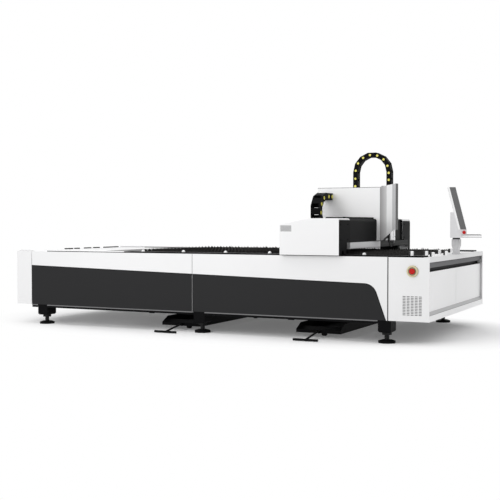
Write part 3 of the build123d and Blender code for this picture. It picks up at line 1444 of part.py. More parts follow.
LEAN = atan2(MONITOR_LEAN, MONITOR_RISE)
MONITOR_LENGTH = (MONITOR_LEAN**2 + MONITOR_RISE**2) ** 0.5
SCREEN_MIDDLE = console_point((MONITOR_BOTTOM_X + MONITOR_TOP_X) / 2 + MONITOR_THICK, MONITOR_BOTTOM_Z)
SCREEN_PLANE = Plane(
    origin=CONSOLE_PLANE.from_local_coords(
        Vector(SCREEN_MIDDLE[0], SCREEN_MIDDLE[1] + MONITOR_RISE / 2, 0)
    ),
    x_dir=(-TURN_SIN, TURN_COS, 0),
    z_dir=(cos(LEAN) * TURN_COS, cos(LEAN) * TURN_SIN, sin(LEAN)),
)
with BuildPart() as monitor_frame:
    with BuildSketch(CONSOLE_SIDE):
        outline(
            console_point(MONITOR_BOTTOM_X, MONITOR_BOTTOM_Z),
            console_point(MONITOR_BOTTOM_X + MONITOR_THICK, MONITOR_BOTTOM_Z),
            console_point(MONITOR_TOP_X + MONITOR_THICK, MONITOR_TOP_Z),
            console_point(MONITOR_TOP_X, MONITOR_TOP_Z),
        )
    extrude(amount=-CONSOLE_WIDTH)
    with BuildSketch(SCREEN_PLANE):
        Rectangle(CONSOLE_WIDTH - 2 * BEZEL, MONITOR_LENGTH - 2 * BEZEL)
    extrude(amount=-2 * SCREEN_DEPTH, mode=Mode.SUBTRACT)
monitor_frame.part.label = "monitor_frame"

with BuildPart() as screen:
    with BuildSketch(SCREEN_PLANE.offset(-2 * SCREEN_DEPTH)):
        Rectangle(CONSOLE_WIDTH - 2 * BEZEL - 2 * CLEARANCE, MONITOR_LENGTH - 2 * BEZEL - 2 * CLEARANCE)
    extrude(amount=SCREEN_DEPTH)
screen.part.label = "screen"

with BuildPart() as keyboard_tray:
    console_block((HOUSING_FRONT_X, TRAY_REACH), TRAY_HALF, (TRAY_BOTTOM, TRAY_TOP))
    console_block(
        (HOUSING_FRONT_X + TRAY_WALL, TRAY_REACH - TRAY_WALL),
        TRAY_HALF - TRAY_WALL,
        (TRAY_BOTTOM + TRAY_WALL, TRAY_TOP + OVERRUN),
        mode=Mode.SUBTRACT,
    )
    console_block(
        (HOUSING_FRONT_X + KEY_MARGIN, TRAY_REACH - KEY_MARGIN),
        TRAY_HALF - KEY_MARGIN,
        (TRAY_BOTTOM + TRAY_WALL, TRAY_BOTTOM + TRAY_WALL + KEY_HEIGHT),
    )
keyboard_tray.part.label = "keyboard_tray"

STOP_SPOT = console_point(SMALL_STOP_X, SMALL_STOP_HEIGHT)
SMALL_STOP_PLANE = Plane(
    origin=CONSOLE_SIDE.from_local_coords(Vector(STOP_SPOT[0], STOP_SPOT[1], 0)),
    x_dir=CONSOLE_SIDE.x_dir,
    z_dir=CONSOLE_SIDE.z_dir,
)
with BuildPart() as console_estop_button:
    with BuildSketch(SMALL_STOP_PLANE.offset(SMALL_TRAVEL + CLEARANCE)):
        Circle(SMALL_HEAD / 2)
    extrude(amount=SMALL_HEAD_DEPTH)
    outward = Axis(SMALL_STOP_PLANE.origin, SMALL_STOP_PLANE.z_dir)
    fillet(edges().filter_by(GeomType.CIRCLE).sort_by(outward)[-1], SMALL_CROWN)
    with BuildSketch(SMALL_STOP_PLANE.offset(SMALL_TRAVEL + CLEARANCE)):
        Circle(SMALL_STEM / 2)
    extrude(amount=-SMALL_STEM_LENGTH)
console_estop_button.part.label = "console_estop_button"


# Scrap trolleys
TUB_START = from_front(TUB_FRONT)
TUB_STOP = TUB_START + TUB_LENGTH
TOW_PIVOT = Vector(0, TUB_START - TOW_PIVOT_FRONT, TOW_PIVOT_HEIGHT)


def draw_tub(inset, top):
    """Side outline of a tub, with its low front lip and sloped front."""
    outline(
        (TUB_START + inset, TUB_BOTTOM + inset),
        (TUB_START + inset, TUB_BOTTOM + TUB_LIP),
        (TUB_START + TUB_SLOPE + inset, top),
        (TUB_STOP - inset, top),
        (TUB_STOP - inset, TUB_BOTTOM + inset),
    )


def tub(centre):
    """Open scrap tub with wheel forks below and the lugs and pin of its tow handle."""
    left = centre - TUB_WIDTH / 2
    with BuildSketch(Plane.YZ.offset(left)) as face:
        draw_tub(0, TUB_TOP)
    extrude(face.sketch, amount=TUB_WIDTH)
    with BuildSketch(Plane.YZ.offset(left + TUB_WALL)) as face:
        draw_tub(TUB_WALL, TUB_TOP + TUB_WALL)
    extrude(face.sketch, amount=TUB_WIDTH - 2 * TUB_WALL, mode=Mode.SUBTRACT)
    for side in (-1, 1):
        lug = centre + side * (TOW_EYE_WIDTH / 2 + CLEARANCE + TOW_LUG / 2)
        box_between(
            (lug - TOW_LUG / 2, lug + TOW_LUG / 2),
            (TOW_PIVOT.Y - TOW_EYE_RADIUS, TUB_START),
            (TUB_BOTTOM, TUB_BOTTOM + TUB_LIP),
        )
        front_fork = centre + side * (WHEEL_WIDTH / 2 + FORK_GAP + FORK_THICK / 2)
        rear_fork = centre + side * (REAR_TRACK / 2 - WHEEL_WIDTH / 2 - FORK_GAP - FORK_THICK / 2)
        for fork, place in ((front_fork, FRONT_WHEEL_PLACE), (rear_fork, REAR_WHEEL_PLACE)):
            box_between(
                (fork - FORK_THICK / 2, fork + FORK_THICK / 2),
                (from_front(place) - FORK_WIDTH / 2, from_front(place) + FORK_WIDTH / 2),
                (WHEEL_RADIUS - AXLE_RADIUS - FORK_THICK, TUB_BOTTOM),
            )
    for place in (FRONT_WHEEL_PLACE, REAR_WHEEL_PLACE):
        with BuildSketch(Plane.YZ.offset(left)) as face:
            with Locations((from_front(place), WHEEL_RADIUS)):
                Circle(AXLE_RADIUS + CLEARANCE)
        extrude(face.sketch, amount=TUB_WIDTH, mode=Mode.SUBTRACT)
    with BuildSketch(Plane.YZ.offset(centre - TOW_EYE_WIDTH / 2 - CLEARANCE - TOW_LUG)) as face:
        with Locations((TOW_PIVOT.Y, TOW_PIVOT.Z)):
            Circle(TOW_PIN_RADIUS)
    extrude(face.sketch, amount=TOW_EYE_WIDTH + 2 * CLEARANCE + 2 * TOW_LUG)


def wheel(centre, place):
    """A small solid wheel with bevelled rims, at one side of its axle."""
    with BuildSketch(Plane.YZ.offset(centre - WHEEL_WIDTH / 2)) as face:
        with Locations((from_front(place), WHEEL_RADIUS)):
            Circle(WHEEL_RADIUS)
    extrude(face.sketch, amount=WHEEL_WIDTH)


def axle(left, right, place):
    """A straight round axle between two places along X."""
    with BuildSketch(Plane.YZ.offset(left)) as face:
        with Locations((from_front(place), WHEEL_RADIUS)):
            Circle(AXLE_RADIUS)
    extrude(face.sketch, amount=right - left)


def tow_handle(centre):
    """T-shaped pull bar with an eye on the trolley's pin."""
    bar_y = from_front(-HANDLE_REACH) + TOW_BAR_RADIUS
    eye = Vector(centre, TOW_PIVOT.Y, TOW_PIVOT.Z)
    bar = Vector(centre, bar_y, TOW_BAR_HEIGHT)
    with BuildSketch(Plane(origin=eye, x_dir=(1, 0, 0), z_dir=bar - eye)) as face:
        Circle(TOW_STEM_RADIUS)
    extrude(face.sketch, amount=(bar - eye).length)
    with BuildSketch(Plane.YZ.offset(centre - TOW_BAR_WIDTH / 2)) as face:
        with Locations((bar.Y, bar.Z)):
            Circle(TOW_BAR_RADIUS)
    extrude(face.sketch, amount=TOW_BAR_WIDTH)
    with BuildSketch(Plane.YZ.offset(centre - TOW_EYE_WIDTH / 2)) as face:
        with Locations((eye.Y, eye.Z)):
            Circle(TOW_EYE_RADIUS)
    extrude(face.sketch, amount=TOW_EYE_WIDTH)
    with BuildSketch(Plane.YZ.offset(centre - TOW_EYE_WIDTH / 2)) as face:
        with Locations((eye.Y, eye.Z)):
            Circle(TOW_PIN_RADIUS + CLEARANCE)
    extrude(face.sketch, amount=TOW_EYE_WIDTH, mode=Mode.SUBTRACT)


trolley_pieces = []
for side_name, trolley_place in zip(("left", "right"), TROLLEY_PLACES):
    centre_x = from_right(trolley_place)
    with BuildPart() as trolley_tub:
        tub(centre_x)
    trolley_tub.part.label = side_name + "_trolley_tub"

    with BuildPart() as front_wheel:
        fork_reach = WHEEL_WIDTH / 2 + FORK_GAP + FORK_THICK
        wheel(centre_x, FRONT_WHEEL_PLACE)
        axle(centre_x - fork_reach, centre_x + fork_reach, FRONT_WHEEL_PLACE)
    front_wheel.part.label = side_name + "_front_wheel"

    with BuildPart() as rear_wheels:
        for half_track in (-REAR_TRACK / 2, REAR_TRACK / 2):
            wheel(centre_x + half_track, REAR_WHEEL_PLACE)
        axle(centre_x - REAR_TRACK / 2, centre_x + REAR_TRACK / 2, REAR_WHEEL_PLACE)
    rear_wheels.part.label = side_name + "_rear_wheels"

    with BuildPart() as pull_bar:
        tow_handle(centre_x)
    pull_bar.part.label = side_name + "_tow_handle"
    trolley_pieces.extend([trolley_tub, front_wheel, rear_wheels, pull_bar])

bed_pieces = [
    side_beams, end_beams, cross_beams, chute_plates, slat_combs, slats,
    leg_blocks, levelling_screws, foot_pads,
    front_upper_panel_left, front_upper_panel_right, front_skirt_left, front_skirt_right,
    front_left_column, front_right_column, rear_upper_panels, rear_skirts, rear_columns,
    skirt_trims, left_end_panel, right_end_panels, end_recess_rails, right_end_top_beam,
    end_decks, rail_covers, cover_caps, end_fingers, x_guides, estop_collar, front_estop_button,
]
gantry_pieces = [
    gantry_beam, front_end_housing, rear_end_housing, housing_side_panels,
    x_saddles, y_guides, y_chain_trough,
]
carriage_pieces = [carriage_cover, carriage_saddle, z_column_cover, y_chain, z_chain]
head_pieces = [z_slide, cutting_head, nozzle]
console_pieces = [
    console_post, console_housing, monitor_back, monitor_frame, screen,
    keyboard_tray, console_estop_button,
]
all_pieces = bed_pieces + gantry_pieces + carriage_pieces + head_pieces + console_pieces + trolley_pieces
for piece in all_pieces:
    export_step(piece.part, f"parts/{piece.part.label}.step")
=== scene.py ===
import json
from math import pi, radians

import bpy
from mathutils import Matrix, Vector

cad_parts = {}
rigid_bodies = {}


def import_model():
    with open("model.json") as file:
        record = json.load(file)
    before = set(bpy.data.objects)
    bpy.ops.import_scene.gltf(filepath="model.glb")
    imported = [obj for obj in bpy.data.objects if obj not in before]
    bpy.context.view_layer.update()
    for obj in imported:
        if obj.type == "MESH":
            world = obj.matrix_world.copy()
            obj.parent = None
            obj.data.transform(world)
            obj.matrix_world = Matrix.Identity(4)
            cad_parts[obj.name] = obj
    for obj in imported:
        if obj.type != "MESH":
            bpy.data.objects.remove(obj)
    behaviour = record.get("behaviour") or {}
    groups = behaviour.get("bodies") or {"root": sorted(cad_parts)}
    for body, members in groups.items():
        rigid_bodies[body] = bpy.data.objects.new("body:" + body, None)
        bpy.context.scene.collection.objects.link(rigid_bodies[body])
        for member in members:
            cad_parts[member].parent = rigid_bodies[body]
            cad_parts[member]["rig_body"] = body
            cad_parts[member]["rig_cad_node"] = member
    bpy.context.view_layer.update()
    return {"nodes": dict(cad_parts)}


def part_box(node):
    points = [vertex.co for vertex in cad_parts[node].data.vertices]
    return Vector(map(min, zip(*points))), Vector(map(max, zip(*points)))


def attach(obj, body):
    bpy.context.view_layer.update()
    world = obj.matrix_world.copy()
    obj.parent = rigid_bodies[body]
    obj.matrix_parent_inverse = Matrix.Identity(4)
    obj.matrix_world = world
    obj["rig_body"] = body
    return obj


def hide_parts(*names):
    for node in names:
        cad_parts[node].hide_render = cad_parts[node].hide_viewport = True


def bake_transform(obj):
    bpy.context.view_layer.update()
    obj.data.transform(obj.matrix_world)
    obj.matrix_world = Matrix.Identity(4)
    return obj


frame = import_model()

nodes = frame["nodes"]
scene = bpy.context.scene
scene.view_settings.view_transform = "Standard"

MM = 0.001

# Grain of the finishes
CLOUD_SCALE = 2.2
CLOUD_SPREAD = 0.12
PEEL_SCALE = 900.0
PEEL_STRENGTH = 0.05
MOULD_SCALE = 14.0
MOULD_SHADE = 0.88
MOULD_SPREAD = 0.16
MOULD_GRAIN = 700.0
MOULD_STRENGTH = 0.06
GRAIN_DEPTH = 0.4 * MM
BRUSH_SCALE = 60.0
BRUSH_GLINT = 1.15
BRUSH_SPREAD = 0.25
BRUSH_GLOSS = 0.1


# Shader maths on sockets
class Socket:
    """One output socket of a node tree, with arithmetic that adds Math nodes."""

    def __init__(self, tree, output):
        self.tree = tree
        self.output = output

    def math(self, operation, *others):
        values = dict(enumerate((self, *others)))
        return add_node(self.tree, "ShaderNodeMath", {"operation": operation}, values)

    def __add__(self, other):
        return self.math("ADD", other)

    def __sub__(self, other):
        return self.math("SUBTRACT", other)

    def __rsub__(self, other):
        return add_node(self.tree, "ShaderNodeMath", {"operation": "SUBTRACT"}, {0: other, 1: self})

    def __mul__(self, other):
        return self.math("MULTIPLY", other)

    __radd__ = __add__
    __rmul__ = __mul__

    def __gt__(self, other):
        return self.math("GREATER_THAN", other)

    def __lt__(self, other):
        return self.math("LESS_THAN", other)

    def between(self, low, high):
        return (self > low) * (self < high)

    def share(self, low, high):
        """0 at the low end and 1 at the high end, held there beyond them."""
        return ((self - low) * (1.0 / (high - low))).clamped()

    def clamped(self):
        return add_node(self.tree, "ShaderNodeClamp", {}, {"Value": self})


def add_node(tree, kind, settings, inputs, output=0):
    """Adds a node, sets it up, fills or links its inputs, and returns one of its outputs."""
    node = tree.nodes.new(kind)
    for name, value in settings.items():
        setattr(node, name, value)
    for name, value in inputs.items():
        if isinstance(value, Socket):
            tree.links.new(value.output, node.inputs[name])
        else:
            node.inputs[name].default_value = value
    return Socket(tree, node.outputs[output])


class Finish:
    """A material whose Principled shader is filled from numbers and sockets."""

    def __init__(self, name, colour, roughness, metallic=0.0, shine=0.5):
        self.material = bpy.data.materials.new(name)
        self.material.use_nodes = True
        self.tree = self.material.node_tree
        self.shader = self.tree.nodes["Principled BSDF"]
        self.set("Base Color", rgba(colour))
        self.set("Roughness", roughness)
        self.set("Metallic", metallic)
        self.set("Specular IOR Level", shine)

    def node(self, kind, settings=None, inputs=None, output=0):
        return add_node(self.tree, kind, settings or {}, inputs or {}, output)

    def set(self, socket, value):
        if isinstance(value, Socket):
            self.tree.links.new(value.output, self.shader.inputs[socket])
        else:
            self.shader.inputs[socket].default_value = value

    def place(self):
        return self.node("ShaderNodeTexCoord", output="Object")

    def axes(self):
        """The X, Y and Z of a point of the surface, in metres."""
        place = self.place()
        return [self.node("ShaderNodeSeparateXYZ", {}, {"Vector": place}, axis) for axis in "XYZ"]

    def noise(self, scale, detail=3.0, stretch=(1.0, 1.0, 1.0)):
        moved = self.node("ShaderNodeMapping", {}, {"Vector": self.place(), "Scale": stretch})
        settings = {"noise_dimensions": "3D"}
        return self.node("ShaderNodeTexNoise", settings, {"Vector": moved, "Scale": scale, "Detail": detail})

    def mix(self, share, first, second):
        """Colour that goes from the first to the second with the share."""
        settings = {"data_type": "RGBA"}
        return self.node("ShaderNodeMix", settings, {0: share, 6: first, 7: second}, 2)

    def bump(self, height, strength, distance):
        inputs = {"Height": height, "Strength": strength, "Distance": distance}
        self.set("Normal", self.node("ShaderNodeBump", {}, inputs))


def rgba(colour):
    return (*colour, 1.0)


def scaled(colour, factor):
    return tuple(min(1.0, channel * factor) for channel in colour)


def coat(name, colour, roughness, shine=0.4, dust=0.05, patches=()):
    """Sprayed paint with a fine orange peel and uneven gloss.

    Each patch is a colour and a function of X, Y and Z that is 1 where the colour shows.
    """
    paint_film = Finish(name, colour, roughness, shine=shine)
    broad = paint_film.noise(CLOUD_SCALE, 4.0)
    tint = paint_film.mix(broad, rgba(scaled(colour, 1.0 - dust)), rgba(colour))
    if patches:
        axes = paint_film.axes()
    for patch_colour, where in patches:
        tint = paint_film.mix(where(*axes), tint, rgba(patch_colour))
    paint_film.set("Base Color", tint)
    paint_film.set("Roughness", broad * CLOUD_SPREAD + (roughness - CLOUD_SPREAD / 2))
    paint_film.bump(paint_film.noise(PEEL_SCALE, 2.0), PEEL_STRENGTH, GRAIN_DEPTH)
    return paint_film


def moulded(name, colour, roughness, shine=0.4):
    """Moulded plastic or rubber with faint cloudy gloss and a fine grain."""
    plastic = Finish(name, colour, roughness, shine=shine)
    cloud = plastic.noise(MOULD_SCALE)
    plastic.set("Base Color", plastic.mix(cloud, rgba(scaled(colour, MOULD_SHADE)), rgba(colour)))
    plastic.set("Roughness", cloud * MOULD_SPREAD + (roughness - MOULD_SPREAD / 2))
    plastic.bump(plastic.noise(MOULD_GRAIN, 2.0), MOULD_STRENGTH, GRAIN_DEPTH)
    return plastic


def brushed_metal(name, colour, roughness, grain, shine=0.5, patches=()):
    """Bare metal with fine lines along one axis, painted where a patch shows.

    The grain is the stretch of the noise.
    """
    metal = Finish(name, colour, roughness, 1.0, shine)
    lines = metal.noise(BRUSH_SCALE, 4.0, grain)
    tint = metal.mix(lines, rgba(colour), rgba(scaled(colour, BRUSH_GLINT)))
    if patches:
        axes = metal.axes()
    for patch_colour, where in patches:
        painted = where(*axes).clamped()
        tint = metal.mix(painted, tint, rgba(patch_colour))
        metal.set("Metallic", 1.0 - painted)
    metal.set("Base Color", tint)
    metal.set("Roughness", lines * BRUSH_SPREAD + (roughness - BRUSH_GLOSS))
    return metal


def paint(finish, *names):
    for name in names:
        slots = nodes[name].data.materials
        slots.clear()
        slots.append(finish.material)


# The whites are one paint: the panel white is painted darker for the bed panels and housings, which the
# lamps light most, and the carriage white is painted lighter for faces that lie in shade.
WHITE = (0.90, 0.90, 0.905)
SHADED_PANEL_WHITE = (0.775, 0.775, 0.78)
LIT_WHITE = (0.955, 0.955, 0.96)
DARK = (0.026, 0.026, 0.027)
BLACK = (0.0045, 0.0045, 0.005)
SHADE = (0.16, 0.16, 0.165)
LIGHT = (0.56, 0.56, 0.57)
# Painted shade for the ledge near the foot of the right end panels, darker along its bottom
LEDGE_SHADE = (0.47, 0.47, 0.475)
LEDGE_SHADE_LINE = (0.30, 0.30, 0.305)
SATIN = 0.035
PANEL_SATIN = 0.023
YELLOW = (0.84, 0.78, 0.16)

# Edges of the frame that the finishes are set out from
bed_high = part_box("rear_columns")[1]
column_low, column_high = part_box("z_column_cover")
recess_low, recess_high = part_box("end_recess_rails")
cover_low, cover_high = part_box("carriage_cover")
tray_low, tray_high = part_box("keyboard_tray")
collar_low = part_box("estop_collar")[0]
table_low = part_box("slat_combs")[0]
arch_low, arch_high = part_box("z_chain")
loop_low, loop_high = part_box("y_chain")
post_low, post_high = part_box("console_post")
housing_low, housing_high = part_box("front_end_housing")

BED_END = bed_high.x
BED_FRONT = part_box("front_left_column")[0].y
BAR_BOTTOM = 671 * MM
BAR_FACE = recess_low.x + 3.1 * MM
BAR_TOP = recess_high.z - 3.1 * MM
SLANT_END = column_low.x + 64 * MM
CHANNEL_END = SLANT_END + 57 * MM
NEAR_DARK_SIDE_END = BED_END - 42 * MM
FAR_DARK_SIDE_END = BED_END - 182 * MM
DECK_EDGE = BED_END - 60 * MM
BAR_SHADED = BED_FRONT + 1024 * MM
COVER_LEFT = BED_END - 4134 * MM
COVER_LINE = 774 * MM
DECK_DARK = BED_END - 3710 * MM
LEDGE_BOTTOM = 259 * MM
LEDGE_TOP = 289.5 * MM
PIN_PROUD = 1.9 * MM
LINE = 3 * MM
RETURN_EDGE = BED_END - 45 * MM
RETURN_DEPTH = 8 * MM
UNDERSIDE_SHADOW_TOP = post_high.z + 16 * MM
COVER_EDGE = cover_high.z - 5 * MM
COLLAR_FACE = collar_low.y + 7 * MM


def lit_inner_return(x, y, z):
    """Painted light: the inner side of the right rear column, made lighter to offset the shade it lies in.
    """
    return x.between(RETURN_EDGE, BED_END - MM) * (y < bed_high.y - RETURN_DEPTH)


def slant_shade(x, y, z):
    """Shade on the slanted side of the column cover, deeper towards its edge."""
    return (x.share(SLANT_END, column_low.x) * 0.55 + 0.4) * (x < SLANT_END)


white_coat = coat("white powder coat", SHADED_PANEL_WHITE, 0.38)
# Painted shade: a grey band on the ledge of the right end panels, with a darker line along its bottom.
end_coat = coat(
    "end panel powder coat", WHITE, 0.4,
    patches=[
        (LEDGE_SHADE, lambda x, y, z: z.between(LEDGE_BOTTOM, LEDGE_TOP)),
        (LEDGE_SHADE_LINE, lambda x, y, z: z.between(LEDGE_BOTTOM, LEDGE_BOTTOM + 2 * LINE)),
    ],
)
top_beam_coat = coat("top beam powder coat", (0.77, 0.77, 0.775), 0.4)
# Painted light on the inner side of the right rear column.
rear_coat = coat(
    "rear column powder coat", SHADED_PANEL_WHITE, 0.38,
    patches=[(LIT_WHITE, lit_inner_return)],
)
dark_coat = coat("charcoal powder coat", DARK, 0.45, shine=SATIN)
black_coat = coat("black powder coat", BLACK, 0.45, shine=SATIN)
side_panel_coat = coat("side panel powder coat", BLACK, 0.45, shine=PANEL_SATIN)
trim_coat = coat("trim powder coat", (0.16, 0.16, 0.163), 0.4, shine=0.2)
post_coat = coat("post powder coat", LIGHT, 0.4)
frame_coat = coat("frame primer", (0.03, 0.03, 0.031), 0.6, shine=0.2, dust=0.2)
# Painted shade: grey for the plates that stand in for the dark hollows behind slots and vents.
slot_shade_coat = coat("backing plate coat", SHADE, 0.55, shine=0.2)
# Painted shadow: the console housing is black below a line just over the post top, for the shade under it.
console_shell = coat(
    "console housing coat", (0.70, 0.70, 0.71), 0.42,
    patches=[(BLACK, lambda x, y, z: z < UNDERSIDE_SHADOW_TOP)],
)
monitor_grey = coat("monitor frame coat", (0.15, 0.15, 0.152), 0.45, shine=0.15)
cover_coat = coat(
    "rail cover coat", BLACK, 0.45, shine=SATIN,
    patches=[(WHITE, lambda x, y, z: (x < COVER_LEFT) + (x < table_low.x) * (z > COVER_LINE))],
)
deck_coat = coat(
    "end deck coat", WHITE, 0.42,
    patches=[(BLACK, lambda x, y, z: x.between(DECK_DARK, table_low.x + LINE))],
)
housing_coat = coat(
    "front housing coat", SHADED_PANEL_WHITE, 0.38,
    patches=[(BLACK, lambda x, y, z: x > housing_high.x - MM)],
)
recess_coat = coat(
    "end recess coat", BLACK, 0.45, shine=SATIN,
    patches=[((0.15, 0.15, 0.155), lambda x, y, z: z.between(BAR_BOTTOM, BAR_TOP) * (x > BAR_FACE))],
)
# The sheet stops are black on the side that faces the table.
finger_coat = coat(
    "sheet stop coat", WHITE, 0.4,
    patches=[(BLACK, lambda x, y, z: (x < FAR_DARK_SIDE_END) + x.between(DECK_EDGE, NEAR_DARK_SIDE_END))],
)
carriage_coat = coat(
    "carriage cover coat", LIT_WHITE, 0.38, dust=0.02,
    patches=[(SHADE, lambda x, y, z: (z > COVER_EDGE) * (y < cover_low.y + MM))],
)
# Painted shade on the column cover: grey on its slanted side and light grey on the facet past the channel.
column_coat = coat(
    "column cover coat", WHITE, 0.38,
    patches=[
        ((0.30, 0.29, 0.295), slant_shade),
        ((0.58, 0.58, 0.59), lambda x, y, z: x > CHANNEL_END),
        (BLACK, lambda x, y, z: x > column_high.x - MM),
    ],
)
tray_coat = coat(
    "tray coat", WHITE, 0.4,
    patches=[
        (SHADE, lambda x, y, z: z < tray_low.z + LINE),
        (BLACK, lambda x, y, z: z > tray_high.z - LINE),
    ],
)
chain_nylon = coat("chain nylon", BLACK, 0.5, shine=SATIN)
pin_yellow = moulded("chain pin yellow", YELLOW, 0.5)
loop_nylon = coat(
    "loop chain nylon", BLACK, 0.5, shine=SATIN,
    patches=[(YELLOW, lambda x, y, z: (x < loop_low.x + PIN_PROUD) + (x > loop_high.x - PIN_PROUD))],
)
steel = brushed_metal("ground steel", (0.42, 0.42, 0.43), 0.36, (0.05, 1.0, 1.0))
blackened = coat("blackened steel", (0.010, 0.010, 0.0105), 0.5, shine=SATIN, dust=0.25)
rack_steel = brushed_metal(
    "rack steel", (0.60, 0.60, 0.61), 0.34, (1.0, 0.05, 1.0), SATIN,
    patches=[(BLACK, lambda x, y, z: (y > BAR_SHADED) + (z > column_low.z))],
)
aluminium = brushed_metal("turned aluminium", (0.74, 0.74, 0.75), 0.26, (1.0, 1.0, 6.0))
plate_aluminium = brushed_metal("plate aluminium", (0.22, 0.22, 0.225), 0.42, (1.0, 1.0, 0.05))
rubber = moulded("wheel rubber", (0.012, 0.012, 0.012), 0.75, shine=0.2)
stop_red = moulded("stop button red", (0.50, 0.006, 0.005), 0.34, shine=0.2)
key_plastic = moulded("key caps", (0.03, 0.03, 0.032), 0.55, shine=0.25)
# Painted shade: the collar is darker behind its front face.
collar_cream = coat(
    "stop collar cream", (0.58, 0.52, 0.33), 0.38,
    patches=[((0.36, 0.33, 0.21), lambda x, y, z: y > COLLAR_FACE)],
)


def burnt_slats():
    """Mild steel slats, black with slag, with heat tint and spatter towards their tips."""
    tint = Finish("burnt slat steel", (0.03, 0.028, 0.026), 0.6, 0.3, shine=0.2)
    height = tint.axes()[2]
    base, tip = (edge.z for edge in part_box("slats"))
    blotch = tint.noise(26.0, 6.0)
    burnt = (height.share(base, tip) * blotch * 1.6).clamped()
    tint.set("Base Color", tint.mix(burnt, (0.022, 0.021, 0.02, 1.0), (0.012, 0.010, 0.009, 1.0)))
    tint.set("Roughness", burnt * 0.2 + 0.55)
    tint.bump(tint.noise(180.0, 4.0), 0.25, 0.001)
    return tint


def threaded_black():
    """Black screw stems with a fine thread."""
    thread = coat("threaded stem", BLACK, 0.45, shine=0.2)
    pitch = 4 * MM
    thread.bump((thread.axes()[2] * (2 * pi / pitch)).math("SINE"), 0.3, 0.001)
    return thread


TURN = radians(14.0)
PIVOT = Vector(((post_low.x + post_high.x) / 2, (post_low.y + post_high.y) / 2, 0))
CONSOLE_TURN = Matrix.Translation(PIVOT) @ Matrix.Rotation(TURN, 4, "Z") @ Matrix.Translation(-PIVOT)


# Layout of the display, in shares of its width and height
SCREEN_HALF = 181 * MM
DRAWING_WIDTH = (0.05, 0.68)
LIST_WIDTH = (0.72, 0.95)
FIELD_HEIGHT = (0.2, 0.9)
LIST_ROWS = 14.0
ROW_GAP = 0.3
SOFT_KEY_WIDTH = (0.05, 0.95)
SOFT_KEY_HEIGHT = (0.06, 0.14)
SOFT_KEYS = 9.0
SOFT_KEY_GAP = 0.14


def screen_glow():
    """Dark display with plain lit areas: a drawing field, a side list and a row of keys."""
    low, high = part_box("screen")
    glass = Finish("display", (0.01, 0.011, 0.013), 0.12)
    x, y, z = glass.axes()
    sideways = CONSOLE_TURN.to_3x3() @ Vector((0, 1, 0))
    across = ((x - PIVOT.x) * sideways.x + (y - PIVOT.y) * sideways.y).share(-SCREEN_HALF, SCREEN_HALF)
    up = z.share(low.z, high.z)
    middle = up.between(*FIELD_HEIGHT)
    field = across.between(*DRAWING_WIDTH) * middle
    rows = across.between(*LIST_WIDTH) * middle * ((up * LIST_ROWS).math("FRACT") > ROW_GAP)
    key_band = up.between(*SOFT_KEY_HEIGHT) * across.between(*SOFT_KEY_WIDTH)
    keys = key_band * ((across * SOFT_KEYS).math("FRACT") > SOFT_KEY_GAP)
    colour = glass.mix(field, (0.012, 0.014, 0.018, 1.0), (0.02, 0.05, 0.09, 1.0))
    colour = glass.mix(rows, colour, (0.10, 0.13, 0.16, 1.0))
    colour = glass.mix(keys, colour, (0.07, 0.16, 0.22, 1.0))
    glass.set("Base Color", colour)
    glass.set("Emission Color", colour)
    glass.set("Emission Strength", 1.2)
    return glass


paint(
    white_coat,
    "front_upper_panel_left", "front_upper_panel_right", "front_left_column", "front_right_column",
    "rear_upper_panels", "left_end_panel", "rear_end_housing",
)
paint(rear_coat, "rear_columns")
paint(top_beam_coat, "right_end_top_beam")
paint(end_coat, "right_end_panels", "cover_caps", "monitor_back")
paint(dark_coat, "front_skirt_left", "front_skirt_right", "rear_skirts")
paint(
    black_coat,
    "leg_blocks", "foot_pads", "gantry_beam", "y_chain_trough",
    "left_trolley_tub", "right_trolley_tub", "left_tow_handle", "right_tow_handle",
)
paint(side_panel_coat, "housing_side_panels")
paint(trim_coat, "skirt_trims")
paint(post_coat, "console_post")
paint(frame_coat, "side_beams", "end_beams", "cross_beams", "chute_plates")
paint(steel, "slat_combs", "x_guides")
paint(blackened, "x_saddles", "carriage_saddle")
paint(rack_steel, "y_guides")
paint(plate_aluminium, "z_slide")
paint(aluminium, "cutting_head", "nozzle")
paint(rubber, "left_front_wheel", "right_front_wheel", "left_rear_wheels", "right_rear_wheels")
paint(chain_nylon, "z_chain")
paint(loop_nylon, "y_chain")
paint(stop_red, "front_estop_button", "console_estop_button")
paint(collar_cream, "estop_collar")
paint(console_shell, "console_housing")
paint(monitor_grey, "monitor_frame")
paint(burnt_slats(), "slats")
paint(threaded_black(), "levelling_screws")
paint(cover_coat, "rail_covers")
paint(housing_coat, "front_end_housing")
paint(deck_coat, "end_decks")
paint(recess_coat, "end_recess_rails")
paint(finger_coat, "end_fingers")
paint(carriage_coat, "carriage_cover")
paint(column_coat, "z_column_cover")
paint(tray_coat, "keyboard_tray")
paint(screen_glow(), "screen")


# Modelling helpers
def fresh():
    """Leaves edit mode and deselects everything."""
    if bpy.context.object and bpy.context.object.mode != "OBJECT":
        bpy.ops.object.mode_set(mode="OBJECT")
    bpy.ops.object.select_all(action="DESELECT")


def settle(name):
    """Names the active object and puts its place and size into its mesh."""
    made = bpy.context.object
    made.name = name
    bpy.ops.object.transform_apply(location=True, rotation=True, scale=True)
    return made


def pick_faces(made, wanted):
    """Enters edit mode with the faces selected for which wanted(face) holds."""
    bpy.ops.object.mode_set(mode="EDIT")
    bpy.ops.mesh.select_all(action="DESELECT")
    bpy.ops.mesh.select_mode(type="FACE")
    bpy.ops.object.mode_set(mode="OBJECT")
    for face in made.data.polygons:
        face.select = wanted(face)
    bpy.ops.object.mode_set(mode="EDIT")


def bevelled(made, width, segments=2):
    edge = made.modifiers.new("edge", "BEVEL")
    edge.width = width
    edge.segments = segments
    bpy.ops.object.modifier_apply(modifier=edge.name)


